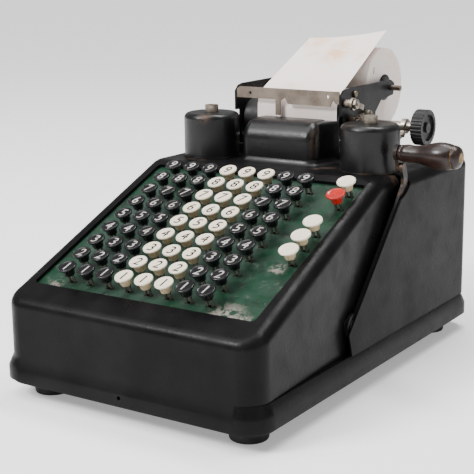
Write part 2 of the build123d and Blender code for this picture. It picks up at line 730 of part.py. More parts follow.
SPOOL_COVER_T = 1.4
SPOOL_POST_R = 3.0
SPOOL_BRIM_R = SPOOL_COVER_R + 0.9
SPOOL_TOP_R = 5.0
SPOOL_BRIM_T = 1.0
SPOOL_CORE_R = 15.5
SPOOL_FLANGE_R = 21.0
SPOOL_FLANGE_T = 1.0
SPOOL_Z = (1.5, 31.0)
SPOOL_BORE_R = SPOOL_POST_R + BORE_GAP


def spool_plane(spot):
    """An upright plane through the middle of a spool: sketch x is the radius."""
    return Plane(origin=(MID_X + spot[0], FRONT_Y + spot[1], DECK_Z), x_dir=(1, 0, 0), z_dir=(0, -1, 0))


for side, spot in (("left", SPOOL_LEFT), ("right", SPOOL_RIGHT)):
    plane = spool_plane(spot)
    upright = Axis(plane.origin, (0, 0, 1))
    with BuildPart() as spool_cover:
        with BuildSketch(plane) as cup:
            with BuildLine():
                Polyline(
                    (SPOOL_POST_R + 0.1, SPOOL_COVER_H),
                    (SPOOL_COVER_R, SPOOL_COVER_H),
                    (SPOOL_COVER_R, SPOOL_BRIM_T),
                    (SPOOL_BRIM_R, SPOOL_BRIM_T),
                    (SPOOL_BRIM_R, 0),
                    (SPOOL_COVER_R - SPOOL_COVER_T, 0),
                    (SPOOL_COVER_R - SPOOL_COVER_T, SPOOL_COVER_H - SPOOL_COVER_T),
                    (SPOOL_POST_R + 0.1, SPOOL_COVER_H - SPOOL_COVER_T),
                    close=True,
                )
            make_face()
            outer_corner = (SPOOL_COVER_R, SPOOL_COVER_H, 0)
            inner_corner = (SPOOL_COVER_R - SPOOL_COVER_T, SPOOL_COVER_H - SPOOL_COVER_T, 0)
            fillet(cup.vertices().sort_by_distance(outer_corner)[0], SPOOL_TOP_R)
            fillet(cup.vertices().sort_by_distance(inner_corner)[0], SPOOL_TOP_R - SPOOL_COVER_T)
        revolve(axis=upright)
    spool_cover.part.label = f"spool_cover_{side}"
    export_step(spool_cover.part, f"parts/spool_cover_{side}.step")
    with BuildPart() as ribbon_spool:
        with BuildSketch(plane):
            with BuildLine():
                Polyline(
                    (SPOOL_BORE_R, SPOOL_Z[0]),
                    (SPOOL_FLANGE_R, SPOOL_Z[0]),
                    (SPOOL_FLANGE_R, SPOOL_Z[0] + SPOOL_FLANGE_T),
                    (SPOOL_CORE_R, SPOOL_Z[0] + SPOOL_FLANGE_T),
                    (SPOOL_CORE_R, SPOOL_Z[1] - SPOOL_FLANGE_T),
                    (SPOOL_FLANGE_R, SPOOL_Z[1] - SPOOL_FLANGE_T),
                    (SPOOL_FLANGE_R, SPOOL_Z[1]),
                    (SPOOL_BORE_R, SPOOL_Z[1]),
                    close=True,
                )
            make_face()
        revolve(axis=upright)
    ribbon_spool.part.label = f"ribbon_spool_{side}"
    export_step(ribbon_spool.part, f"parts/ribbon_spool_{side}.step")

NUT_R = 6.2
NUT_H = 6.6
NUT_SLOT_W = 1.4
NUT_SLOT_H = 1.8
COLLAR_R = 6.0
COLLAR_T = 1.2
with BuildPart() as spool_posts:
    for spot in (SPOOL_LEFT, SPOOL_RIGHT):
        with BuildSketch(level(DECK_Z)):
            with Locations(spot):
                Circle(SPOOL_POST_R)
        extrude(amount=SPOOL_COVER_H)
        with BuildSketch(level(DECK_Z)):
            with Locations(spot):
                Circle(COLLAR_R)
        extrude(amount=COLLAR_T)
        with BuildSketch(level(DECK_Z + SPOOL_COVER_H)):
            with Locations(spot):
                Circle(NUT_R)
                Rectangle(2 * NUT_R, NUT_SLOT_W, mode=Mode.SUBTRACT)
        extrude(amount=NUT_H)
        with BuildSketch(level(DECK_Z + SPOOL_COVER_H)):
            with Locations(spot):
                Circle(NUT_R)
        extrude(amount=NUT_H - NUT_SLOT_H)
spool_posts.part.label = "spool_posts"
export_step(spool_posts.part, "parts/spool_posts.step")

# ---- printing carriage --------------------------------------------------------------------
PRESSURE_ANGLE = radians(-125)
PRESSURE_R = 5.0
PRESSURE_REACH = PLATEN_R + PRESSURE_R + 1.0
PRESSURE_SHAFT_R = 2.0
PRESSURE = (
    PLATEN[0] + PRESSURE_REACH * cos(PRESSURE_ANGLE),
    PLATEN[1] + PRESSURE_REACH * sin(PRESSURE_ANGLE),
)
TIE_ROD = (322.0, 190.0)
STUD = (274.0, 216.5)
for side, x in (("left", LEFT_PLATE_X), ("right", RIGHT_PLATE_X)):
    with BuildPart() as carriage_plate:
        with BuildSketch(across(x)):
            with BuildLine():
                Polyline(
                    (275, DECK_Z),
                    (275, 205.5),
                    (268, 205.5),
                    (268, 223),
                    (273, 227.6),
                    (280, 228.9),
                    (ROLL[0] - 2, 229.3),
                    (ROLL[0] + 5, 226),
                    (ROLL[0] + 6.5, ROLL[1]),
                    (ROLL[0] + 3, 215),
                    (345, 212.5),
                    (334, 203),
                    (331, 192),
                    (331, DECK_Z),
                    close=True,
                )
            make_face()
            with Locations(PLATEN):
                Circle(PLATEN_SHAFT_R + BORE_GAP, mode=Mode.SUBTRACT)
            with Locations(ROLL):
                Circle(SPINDLE_R, mode=Mode.SUBTRACT)
            with Locations(PRESSURE):
                Circle(PRESSURE_SHAFT_R + BORE_GAP, mode=Mode.SUBTRACT)
        extrude(amount=SIDE_PLATE_T)
    carriage_plate.part.label = f"carriage_plate_{side}"
    export_step(carriage_plate.part, f"parts/carriage_plate_{side}.step")

INNER_LEFT_X = LEFT_PLATE_X + SIDE_PLATE_T
with BuildPart() as carriage_bed:
    with BuildSketch(across(INNER_LEFT_X)):
        with BuildLine():
            Polyline(
                (270.5, DECK_Z),
                (270.5, 174),
                (273, 174),
                (273, 169),
                (328.5, 169),
                (328.5, 174),
                (331, 174),
                (331, DECK_Z),
                close=True,
            )
        make_face()
    extrude(amount=RIGHT_PLATE_X - INNER_LEFT_X)
carriage_bed.part.label = "carriage_bed"
export_step(carriage_bed.part, "parts/carriage_bed.step")

# the serrated steel bar across the front of the carriage, over which the paper is torn
BAR_Z = (217.0, 227.0)
BAR_DEPTH = (268.0, 269.5)
with BuildPart() as tear_bar:
    with BuildSketch(facing(BAR_DEPTH[1])):
        with BuildLine():
            Polyline(
                (INNER_LEFT_X, BAR_Z[0]),
                (INNER_LEFT_X, BAR_Z[1] - 2),
                (INNER_LEFT_X + 3, BAR_Z[1]),
                (RIGHT_PLATE_X, BAR_Z[1]),
                (RIGHT_PLATE_X, 216),
                (36, 216),
                (33, 219.5),
                (30, 213.5),
                (-13, 213.5),
                (-16, 219),
                (-21, 216),
                (-21, 203),
                (-26, 203),
                (-26, BAR_Z[0]),
                close=True,
            )
        make_face()
        with Locations((-53, 221.5), (28, 222)):
            Circle(1.5, mode=Mode.SUBTRACT)
    extrude(amount=BAR_DEPTH[1] - BAR_DEPTH[0])
tear_bar.part.label = "tear_bar"
export_step(tear_bar.part, "parts/tear_bar.step")

PLATEN_X = (-64.0, 36.0)
with BuildPart() as platen_roller:
    with BuildSketch(across(PLATEN_X[0])):
        with Locations(PLATEN):
            Circle(PLATEN_R)
            Circle(PLATEN_SHAFT_R, mode=Mode.SUBTRACT)
    extrude(amount=PLATEN_X[1] - PLATEN_X[0])
platen_roller.part.label = "platen_roller"
export_step(platen_roller.part, "parts/platen_roller.step")

RATCHET_X = 49.0
RATCHET_T = 2.5
RATCHET_R = 9.0
RATCHET_TEETH = 18
SHAFT_ENDS_X = (LEFT_PLATE_X - 4.0, KNOB_X[1] - 3.0)
with BuildPart() as platen_shaft:
    with BuildSketch(across(SHAFT_ENDS_X[0])):
        with Locations(PLATEN):
            Circle(PLATEN_SHAFT_R)
    extrude(amount=SHAFT_ENDS_X[1] - SHAFT_ENDS_X[0])
    with BuildSketch(across(RATCHET_X)):
        with Locations(PLATEN):
            Circle(RATCHET_R - 1.4)
            with PolarLocations(RATCHET_R - 1.4, RATCHET_TEETH):
                Rectangle(2.8, 1.6)
    extrude(amount=RATCHET_T)
platen_shaft.part.label = "platen_shaft"
export_step(platen_shaft.part, "parts/platen_shaft.step")

KNOB_RIBS = 30
KNOB_GROOVE_R = 1.0
KNOB_DISH_R = 11.5
KNOB_DISH_DEPTH = 2.2
KNOB_BOSS_R = 4.5
with BuildPart() as platen_knob:
    with BuildSketch(across(KNOB_X[0])):
        with Locations(PLATEN):
            Circle(KNOB_R)
            with PolarLocations(KNOB_R + 0.5, KNOB_RIBS):
                Circle(KNOB_GROOVE_R, mode=Mode.SUBTRACT)
    extrude(amount=KNOB_X[1] - KNOB_X[0])
    with BuildSketch(across(KNOB_X[1])):
        with Locations(PLATEN):
            Circle(KNOB_DISH_R)
            Circle(KNOB_BOSS_R, mode=Mode.SUBTRACT)
    extrude(amount=-KNOB_DISH_DEPTH, mode=Mode.SUBTRACT)
    with BuildSketch(across(KNOB_X[0])):
        with Locations(PLATEN):
            Circle(PLATEN_SHAFT_R)
    extrude(amount=SHAFT_ENDS_X[1] - KNOB_X[0], mode=Mode.SUBTRACT)
platen_knob.part.label = "platen_knob"
export_step(platen_knob.part, "parts/platen_knob.step")

# the paper release: a hub that turns on the platen shaft, with a small ball to push
LEVER_X = 91.0
LEVER_T = 4.0
LEVER_BALL = (281.0, 188.5)
LEVER_BALL_R = 3.2
LEVER_HUB_R = 6.5
LEVER_W = 4.0
LEVER_BALL_X = LEVER_X + LEVER_T
with BuildPart() as release_lever:
    with BuildSketch(across(LEVER_X)):
        with Locations(PLATEN):
            Circle(LEVER_HUB_R)
        with BuildLine():
            Polyline(PLATEN, LEVER_BALL)
        trace(line_width=LEVER_W)
    extrude(amount=LEVER_T)
    ball_place = across(LEVER_BALL_X).location * Location((*LEVER_BALL, 0))
    with Locations(ball_place):
        Sphere(LEVER_BALL_R)
    with BuildSketch(across(LEVER_X)):
        with Locations(PLATEN):
            Circle(PLATEN_SHAFT_R + 0.08)
    extrude(amount=LEVER_T, mode=Mode.SUBTRACT)
release_lever.part.label = "release_lever"
export_step(release_lever.part, "parts/release_lever.step")

# the pawl that steps the ratchet and so feeds the paper one line at a time
PAWL_BORE_R = 2.0
PAWL_HUB_R = 5.5
PAWL_W = 5.0
PAWL_BEND = (286.0, 213.5)
PAWL_TIP = (292.0, 211.2)
with BuildPart() as pawl_lever:
    with BuildSketch(across(RATCHET_X)):
        with BuildLine():
            Polyline(STUD, PAWL_BEND, PAWL_TIP)
        trace(line_width=PAWL_W)
        with Locations(STUD):
            Circle(PAWL_HUB_R)
            Circle(PAWL_BORE_R + BORE_GAP, mode=Mode.SUBTRACT)
    extrude(amount=RATCHET_T)
pawl_lever.part.label = "pawl_lever"
export_step(pawl_lever.part, "parts/pawl_lever.step")

# the pawl's stud, the tie rod between the side plates and the heads of the plate screws
PLATE_SCREWS = ((292.0, 222.8), (318.0, 176.0), (278.0, 170.5))
PLATE_SCREW_R = 3.0
PLATE_SCREW_T = 1.8
STUD_R = 2.8
STUD_HEAD_R = 3.4
STUD_HEAD_T = 1.5
STUD_PLAY = 0.3
TIE_ROD_R = 3.0
with BuildPart() as carriage_fasteners:
    with BuildSketch(across(RIGHT_PLATE_X + SIDE_PLATE_T)):
        with Locations(STUD):
            Circle(STUD_R)
    extrude(amount=RATCHET_X - STUD_PLAY - RIGHT_PLATE_X - SIDE_PLATE_T)
    with BuildSketch(across(RATCHET_X - STUD_PLAY)):
        with Locations(STUD):
            Circle(PAWL_BORE_R)
    extrude(amount=RATCHET_T + 2 * STUD_PLAY)
    with BuildSketch(across(RATCHET_X + RATCHET_T + STUD_PLAY)):
        with Locations(STUD):
            Circle(STUD_HEAD_R)
    extrude(amount=STUD_HEAD_T)
    with BuildSketch(across(INNER_LEFT_X)):
        with Locations(TIE_ROD):
            Circle(TIE_ROD_R)
    extrude(amount=RIGHT_PLATE_X - INNER_LEFT_X)
    for x, reach in ((RIGHT_PLATE_X + SIDE_PLATE_T, PLATE_SCREW_T), (LEFT_PLATE_X, -PLATE_SCREW_T)):
        with BuildSketch(across(x)):
            with Locations(*PLATE_SCREWS):
                Circle(PLATE_SCREW_R)
        extrude(amount=reach)
carriage_fasteners.part.label = "carriage_fasteners"
export_step(carriage_fasteners.part, "parts/carriage_fasteners.step")

PRESSURE_X = (-46.0, 32.0)
with BuildPart() as pressure_roller:
    with BuildSketch(across(PRESSURE_X[0])):
        with Locations(PRESSURE):
            Circle(PRESSURE_R)
    extrude(amount=PRESSURE_X[1] - PRESSURE_X[0])
    with BuildSketch(across(LEFT_PLATE_X + 0.5)):
        with Locations(PRESSURE):
            Circle(PRESSURE_SHAFT_R)
    extrude(amount=RIGHT_PLATE_X + SIDE_PLATE_T - LEFT_PLATE_X - 1)
pressure_roller.part.label = "pressure_roller"
export_step(pressure_roller.part, "parts/pressure_roller.step")

# ---- paper --------------------------------------------------------------------------------
CORE_R = 9.0
with BuildPart() as paper_roll:
    with BuildSketch(across(PAPER_X[0])):
        with Locations(ROLL):
            Circle(ROLL_R)
            Circle(CORE_R, mode=Mode.SUBTRACT)
    extrude(amount=PAPER_X[1] - PAPER_X[0])
paper_roll.part.label = "paper_roll"
export_step(paper_roll.part, "parts/paper_roll.step")

with BuildPart() as roll_core:
    with BuildSketch(across(PAPER_X[0] - 1.5)):
        with Locations(ROLL):
            Circle(CORE_R)
            Circle(SPINDLE_R + BORE_GAP, mode=Mode.SUBTRACT)
    extrude(amount=PAPER_X[1] - PAPER_X[0] + 3)
roll_core.part.label = "roll_core"
export_step(roll_core.part, "parts/roll_core.step")

with BuildPart() as roll_spindle:
    with BuildSketch(across(LEFT_PLATE_X - 2)):
        with Locations(ROLL):
            Circle(SPINDLE_R)
    extrude(amount=RIGHT_PLATE_X - LEFT_PLATE_X + 14)
roll_spindle.part.label = "roll_spindle"
export_step(roll_spindle.part, "parts/roll_spindle.step")

# the strip runs off the underside of the roll, round the platen and up behind the tear bar
WRAP_R = PLATEN_R + 0.5
LEAVE_R = ROLL_R + 0.45
UP_TO = 209.0
CURL_R = 18.0
TONGUE_ANGLE = radians(29.9)
TONGUE_END = 369.0
line_angle = atan((ROLL[1] - PLATEN[1]) / (ROLL[0] - PLATEN[0]))
centre_gap = ((ROLL[0] - PLATEN[0]) ** 2 + (ROLL[1] - PLATEN[1]) ** 2) ** 0.5
leave_angle = line_angle - atan((LEAVE_R - WRAP_R) / (centre_gap**2 - (LEAVE_R - WRAP_R) ** 2) ** 0.5)


def below(centre, radius, turn=0.0):
    """A point on a circle, turned from its underside towards the front."""
    angle = leave_angle - radians(90) - turn
    return (centre[0] + radius * cos(angle), centre[1] + radius * sin(angle))


front = (PLATEN[0] - WRAP_R, PLATEN[1])
curl_start = (front[0], UP_TO)
curl_turn = radians(90) + TONGUE_ANGLE
curl_end = (front[0] + CURL_R + CURL_R * cos(curl_turn), UP_TO + CURL_R * sin(curl_turn))
curl_middle_angle = (radians(180) + curl_turn) / 2
curl_middle = (
    front[0] + CURL_R + CURL_R * cos(curl_middle_angle),
    UP_TO + CURL_R * sin(curl_middle_angle),
)
tongue_tip = (TONGUE_END, curl_end[1] + (TONGUE_END - curl_end[0]) * tan(TONGUE_ANGLE))
with BuildPart() as paper_strip:
    with BuildSketch(across(PAPER_X[0])):
        with BuildLine():
            Line(below(ROLL, LEAVE_R), below(PLATEN, WRAP_R))
            ThreePointArc(below(PLATEN, WRAP_R), below(PLATEN, WRAP_R, radians(45)), front)
            Line(front, curl_start)
            ThreePointArc(curl_start, curl_middle, curl_end)
            Line(curl_end, tongue_tip)
        trace(line_width=PAPER_T)
    extrude(amount=PAPER_X[1] - PAPER_X[0])
paper_strip.part.label = "paper_strip"
export_step(paper_strip.part, "parts/paper_strip.step")
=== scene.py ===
import json
from math import cos, pi, radians, sin

import bpy
from mathutils import Matrix, Vector

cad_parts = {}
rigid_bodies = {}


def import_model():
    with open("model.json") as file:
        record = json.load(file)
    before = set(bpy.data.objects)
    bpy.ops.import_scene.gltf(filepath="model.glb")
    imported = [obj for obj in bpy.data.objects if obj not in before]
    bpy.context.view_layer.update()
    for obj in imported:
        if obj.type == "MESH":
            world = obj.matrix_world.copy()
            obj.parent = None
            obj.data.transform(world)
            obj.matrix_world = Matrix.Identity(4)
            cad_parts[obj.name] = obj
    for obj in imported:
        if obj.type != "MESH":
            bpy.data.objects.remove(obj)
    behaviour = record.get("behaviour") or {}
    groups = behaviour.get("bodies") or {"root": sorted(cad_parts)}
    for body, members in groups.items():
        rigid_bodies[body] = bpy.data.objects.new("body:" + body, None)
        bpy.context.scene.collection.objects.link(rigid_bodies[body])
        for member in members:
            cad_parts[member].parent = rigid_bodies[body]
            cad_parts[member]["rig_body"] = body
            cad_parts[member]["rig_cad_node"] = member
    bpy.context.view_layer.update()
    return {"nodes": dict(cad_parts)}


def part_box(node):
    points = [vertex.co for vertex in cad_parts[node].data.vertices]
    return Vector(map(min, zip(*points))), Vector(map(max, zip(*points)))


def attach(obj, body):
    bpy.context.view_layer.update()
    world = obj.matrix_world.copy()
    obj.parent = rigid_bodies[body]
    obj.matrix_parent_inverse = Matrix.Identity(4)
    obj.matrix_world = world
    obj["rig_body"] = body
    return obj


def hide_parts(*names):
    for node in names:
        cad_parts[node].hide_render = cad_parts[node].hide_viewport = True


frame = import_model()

# ---- casing -------------------------------------------------------------------------------
# One iron casting: flange, moulding, walls, sloping panel and flat deck.  It is baked with
# satin black enamel over the rough cast skin, which is rubbed through where hands and the
# crank pass, and it is screwed to the pressed bottom plate.
MM = 0.001
ENAMEL_BLACK = (0.0042, 0.0040, 0.0045, 1)
ENAMEL_GREY = (0.0080, 0.0074, 0.0078, 1)
RUBBED_THROUGH = (0.075, 0.050, 0.036, 1)


def alone(piece):
    """Makes one object the only selected one, and the active one."""
    bpy.ops.object.select_all(action="DESELECT")
    piece.select_set(True)
    bpy.context.view_layer.objects.active = piece


def edit_all(piece):
    """Opens a piece in edit mode with all of it selected."""
    alone(piece)
    bpy.ops.object.mode_set(mode="EDIT")
    bpy.ops.mesh.select_all(action="SELECT")


def close_edit():
    bpy.ops.object.mode_set(mode="OBJECT")


def put_on(piece, material):
    piece.data.materials.clear()
    piece.data.materials.append(material)


def modify(piece, kind, **settings):
    """Adds a modifier and applies it."""
    alone(piece)
    modifier = piece.modifiers.new(kind.lower(), kind)
    for name, value in settings.items():
        setattr(modifier, name, value)
    bpy.ops.object.modifier_apply(modifier=modifier.name)


def from_casting(node, material, edge=0.0, smooth_to=40, steps=2):
    """A copy of a CAD node, merged, with its sharp edges eased and its curves smooth."""
    alone(frame["nodes"][node])
    bpy.ops.object.duplicate()
    piece = bpy.context.object
    piece.name = node + "_finished"
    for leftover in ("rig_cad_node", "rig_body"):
        if leftover in piece:
            del piece[leftover]
    if piece.data.has_custom_normals:
        bpy.ops.mesh.customdata_custom_splitnormals_clear()
    edit_all(piece)
    bpy.ops.mesh.remove_doubles(threshold=0.002 * MM)
    bpy.ops.mesh.dissolve_limited(angle_limit=radians(0.4))
    close_edit()
    if edge:
        modify(
            piece, "BEVEL", width=edge, segments=steps, limit_method="ANGLE",
            angle_limit=radians(smooth_to), use_clamp_overlap=True, harden_normals=False,
        )
    edit_all(piece)
    bpy.ops.mesh.quads_convert_to_tris(quad_method="BEAUTY", ngon_method="BEAUTY")
    close_edit()
    alone(piece)
    bpy.ops.object.shade_smooth_by_angle(angle=radians(smooth_to))
    modify(piece, "WEIGHTED_NORMAL", keep_sharp=True, weight=80)
    put_on(piece, material)
    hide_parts(node)
    return piece


def shader_node(tree, kind, settings=None, **inputs):
    """Adds a shader node; an input may be a value or another node's output."""
    made = tree.nodes.new("ShaderNode" + kind)
    for name, value in (settings or {}).items():
        setattr(made, name, value)
    for name, value in inputs.items():
        socket = made.inputs[name.replace("_", " ")]
        if isinstance(value, bpy.types.NodeSocket):
            tree.links.new(value, socket)
        else:
            socket.default_value = value
    return made


def new_material(name, **sockets):
    """A material whose even values sit on the shader's own sockets."""
    material = bpy.data.materials.new(name)
    material.use_nodes = True
    shader = material.node_tree.nodes["Principled BSDF"]
    for socket, value in sockets.items():
        shader.inputs[socket.replace("_", " ")].default_value = value
    return material, material.node_tree, shader


def grain(tree, size, detail=4.0, rough=0.55, stretch=(1, 1, 1), turn=(0, 0, 0), warp=0.0):
    """Noise whose blotches are about size metres across, on the object's own coordinates."""
    where = tree.nodes.new("ShaderNodeTexCoord").outputs["Object"]
    placed = shader_node(tree, "Mapping", Vector=where, Scale=stretch, Rotation=turn)
    return shader_node(
        tree, "TexNoise", Vector=placed.outputs[0], Scale=0.6 / size, Detail=detail,
        Roughness=rough, Distortion=warp,
    ).outputs["Fac"]


def ramp(tree, value, low, high, to_low=0.0, to_high=1.0):
    """Turns value between low and high smoothly into a number between to_low and to_high."""
    return shader_node(
        tree, "MapRange", {"interpolation_type": "SMOOTHSTEP"}, Value=value,
        From_Min=low, From_Max=high, To_Min=to_low, To_Max=to_high,
    ).outputs[0]


def blended(tree, amount, first, second):
    """A colour between first and second."""
    return shader_node(tree, "MixRGB", Fac=amount, Color1=first, Color2=second).outputs[0]


def maths(tree, what, first, second):
    made = shader_node(tree, "Math", {"operation": what, "use_clamp": True})
    for socket, value in zip(made.inputs, (first, second)):
        if isinstance(value, bpy.types.NodeSocket):
            tree.links.new(value, socket)
        else:
            socket.default_value = value
    return made.outputs[0]


def near(tree, centre, reach, core=0.3, squash=(1, 1, 1)):
    """1 at a place on the machine, falling to 0 at reach metres from it."""
    where = tree.nodes.new("ShaderNodeTexCoord").outputs["Object"]
    moved = shader_node(tree, "VectorMath", {"operation": "SUBTRACT"})
    tree.links.new(where, moved.inputs[0])
    moved.inputs[1].default_value = centre
    shaped = shader_node(tree, "VectorMath", {"operation": "MULTIPLY"})
    tree.links.new(moved.outputs[0], shaped.inputs[0])
    shaped.inputs[1].default_value = squash
    length = shader_node(tree, "VectorMath", {"operation": "LENGTH"})
    tree.links.new(shaped.outputs[0], length.inputs[0])
    return ramp(tree, length.outputs["Value"], core * reach, reach, 1.0, 0.0)


def bumped(tree, shader, height, depth, strength=1.0):
    """Raises the surface by the height map."""
    bump = shader_node(tree, "Bump", Height=height, Distance=depth, Strength=strength)
    tree.links.new(bump.outputs[0], shader.inputs["Normal"])
    return bump


def enamel(name, spots=(), pebble=1.6 * MM, wear=0.0, gloss=0.13):
    """Satin black enamel over a cast skin, rubbed through in places."""
    material, tree, shader = new_material(name, Specular_IOR_Level=gloss)
    cloudy = grain(tree, 28 * MM, 5.0)
    fine = grain(tree, 0.5 * MM, 3.0)
    paint = blended(tree, ramp(tree, cloudy, 0.35, 0.7), ENAMEL_BLACK, ENAMEL_GREY)
    dull = ramp(tree, grain(tree, 11 * MM, 6.0), 0.3, 0.75, 0.27, 0.42)
    flecks = ramp(tree, grain(tree, 2.2 * MM, 9.0, 0.72), 0.70 - wear, 0.76 - wear, 0.0, 0.75)
    bare = maths(tree, "MULTIPLY", flecks, ramp(tree, grain(tree, 42 * MM, 2.0), 0.48, 0.66))
    for centre, reach, squash in spots:
        patch = near(tree, centre, reach, 0.15, squash)
        ragged = ramp(tree, grain(tree, 5 * MM, 8.0, 0.7), 0.42, 0.6)
        bare = maths(tree, "MAXIMUM", bare, maths(tree, "MULTIPLY", patch, ragged))
    tree.links.new(blended(tree, bare, paint, RUBBED_THROUGH), shader.inputs["Base Color"])
    tree.links.new(maths(tree, "MULTIPLY", bare, 0.55), shader.inputs["Metallic"])
    tree.links.new(maths(tree, "ADD", dull, maths(tree, "MULTIPLY", bare, 0.12)), shader.inputs["Roughness"])
    skin = maths(tree, "ADD", grain(tree, pebble, 3.0), maths(tree, "MULTIPLY", fine, 0.15))
    bumped(tree, shader, maths(tree, "SUBTRACT", skin, maths(tree, "MULTIPLY", bare, 0.2)), 0.2 * MM, 0.6)
    return material


hood_low, hood_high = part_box("hood")
right_spool_low, right_spool_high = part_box("spool_cover_right")
left_spool_low, left_spool_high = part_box("spool_cover_left")
DECK_Z = hood_low.z
spool_right = (right_spool_low + right_spool_high) / 2
spool_left = (left_spool_low + left_spool_high) / 2
between = (hood_high.x + right_spool_low.x) / 2
CASING_WORN = (
    ((between, hood_low.y + 3 * MM, DECK_Z), 10 * MM, (0.8, 1.0, 1)),
    ((between - 3 * MM, hood_low.y - 6 * MM, DECK_Z), 8 * MM, (1, 1, 1)),
    ((right_spool_high.x + 2 * MM, right_spool_low.y + 12 * MM, DECK_Z - 4 * MM), 11 * MM, (1.2, 0.8, 1)),
    ((spool_left.x, left_spool_low.y - 1 * MM, DECK_Z), 14 * MM, (0.6, 2, 1)),
)
casing_enamel = enamel("casing_enamel", CASING_WORN, gloss=0.08)
casing = from_casting("housing", casing_enamel, edge=0.25 * MM)
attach(casing, "root")

# ---- bottom plate, feet and their screws --------------------------------------------------
# A pressed steel pan closes the casing from below.  Four moulded rubber feet, each with a
# grip groove and a rounded tread, are held to it by sunk screws.
pan = from_casting("base_plate", enamel("pan_enamel"), edge=0.5 * MM)
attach(pan, "root")


def turned(name, rings, segments=48, hollow=False):
    """A piece turned about Z: a disc drawn up through rings of (radius, height).

    A hollow piece comes back down inside and its last ring is joined to its first."""
    radius, height = rings[0]
    fill = "NOTHING" if hollow else "NGON"
    bpy.ops.mesh.primitive_circle_add(
        vertices=segments, radius=radius, fill_type=fill, location=(0, 0, height)
    )
    piece = bpy.context.object
    piece.name = name
    bpy.ops.object.transform_apply(location=True)
    edit_all(piece)
    for next_radius, next_height in rings[1:]:
        bpy.ops.mesh.extrude_region_move(TRANSFORM_OT_translate={"value": (0, 0, next_height - height)})
        ratio = next_radius / radius
        bpy.ops.transform.resize(value=(ratio, ratio, 1))
        radius, height = next_radius, next_height
    if hollow:
        bpy.ops.mesh.select_all(action="SELECT")
        bpy.ops.mesh.remove_doubles(threshold=0.001 * MM)
    bpy.ops.mesh.select_all(action="SELECT")
    bpy.ops.mesh.normals_make_consistent(inside=False)
    close_edit()
    return piece


def place(piece, where, turn=(0, 0, 0)):
    """Turns and moves a piece, and leaves its object at the origin with its place in its mesh."""
    alone(piece)
    piece.rotation_euler = turn
    piece.location = where
    bpy.ops.object.transform_apply(location=True, rotation=True, scale=True)


def copy_of(piece, name):
    alone(piece)
    bpy.ops.object.duplicate()
    made = bpy.context.object
    made.name = name
    return made


def joined(pieces, name):
    """Joins separate pieces into one object."""
    bpy.ops.object.select_all(action="DESELECT")
    for piece in pieces:
        piece.select_set(True)
    bpy.context.view_layer.objects.active = pieces[0]
    if len(pieces) > 1:
        bpy.ops.object.join()
    whole = bpy.context.object
    whole.name = name
    return whole


def softened(piece, angle=35):
    alone(piece)
    bpy.ops.object.shade_smooth_by_angle(angle=radians(angle))


rubber, tree, shader = new_material("foot_rubber", Specular_IOR_Level=0.25)
dusty = ramp(tree, grain(tree, 6 * MM, 6.0), 0.4, 0.72)
foot_black = blended(tree, dusty, (0.008, 0.008, 0.008, 1), (0.03, 0.028, 0.026, 1))
tree.links.new(foot_black, shader.inputs["Base Color"])
tree.links.new(ramp(tree, grain(tree, 3 * MM), 0.3, 0.7, 0.62, 0.85), shader.inputs["Roughness"])
bumped(tree, shader, grain(tree, 0.5 * MM, 3.0), 0.1 * MM, 0.6)

feet_low, feet_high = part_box("rubber_feet")
FOOT_R = 16.0 * MM
FOOT_H = feet_high.z
FOOT_RECESS_R = 6.0 * MM
foot_rings = (
    (FOOT_RECESS_R, 6.0 * MM),
    (FOOT_RECESS_R, 0.6 * MM),
    (FOOT_RECESS_R + 0.6 * MM, 0.0),
    (13.4 * MM, 0.0),
    (14.4 * MM, 0.35 * MM),
    (14.95 * MM, 1.4 * MM),
    (15.1 * MM, 3.0 * MM),
    (15.3 * MM, 7.4 * MM),
    (14.7 * MM, 7.8 * MM),
    (14.7 * MM, 8.8 * MM),
    (15.5 * MM, 9.2 * MM),
    (15.9 * MM, 12.4 * MM),
    (15.5 * MM, FOOT_H),
    (2.1 * MM, FOOT_H),
    (2.1 * MM, 6.0 * MM),
    (FOOT_RECESS_R, 6.0 * MM),
)
foot = turned("rubber_foot", foot_rings, 64, hollow=True)
feet = []
for x in (feet_low.x + FOOT_R, feet_high.x - FOOT_R):
    for y in (feet_low.y + FOOT_R, feet_high.y - FOOT_R):
        each = copy_of(foot, "foot")
        place(each, (x, y, 0))
        feet.append(each)
bpy.data.objects.remove(foot)
feet = joined(feet, "rubber_feet_finished")
softened(feet, 50)
put_on(feet, rubber)
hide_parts("rubber_feet")
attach(feet, "root")


def metal(name, bright, dark, rough=(0.28, 0.5), brush=(1, 1, 1), stain=9 * MM, metallic=0.9, tarnish=0.5):
    """Plain or plated steel or brass, with tarnish in clouds and fine brush marks."""
    material, tree, shader = new_material(name, Metallic=metallic)
    clouds = ramp(tree, grain(tree, stain, 7.0, 0.65), tarnish - 0.16, tarnish + 0.16)
    specks = ramp(tree, grain(tree, 1.1 * MM, 6.0, 0.7), 0.62, 0.72)
    base = blended(tree, clouds, bright, dark)
    spotted = blended(tree, maths(tree, "MULTIPLY", specks, 0.6), base, dark)
    tree.links.new(spotted, shader.inputs["Base Color"])
    marks = grain(tree, 0.5 * MM, 3.0, 0.6, brush)
    gloss = maths(tree, "ADD", ramp(tree, marks, 0.3, 0.7, 0.0, 0.1), ramp(tree, clouds, 0.0, 1.0, *rough))
    tree.links.new(gloss, shader.inputs["Roughness"])
    bumped(tree, shader, maths(tree, "ADD", marks, maths(tree, "MULTIPLY", specks, -0.3)), 0.04 * MM, 0.5)
    return material


steel = metal("machined_steel", (0.40, 0.385, 0.36, 1), (0.20, 0.17, 0.14, 1), brush=(0.08, 1, 1))
foot_screws = from_casting("foot_screws", steel, edge=0.3 * MM)
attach(foot_screws, "root")

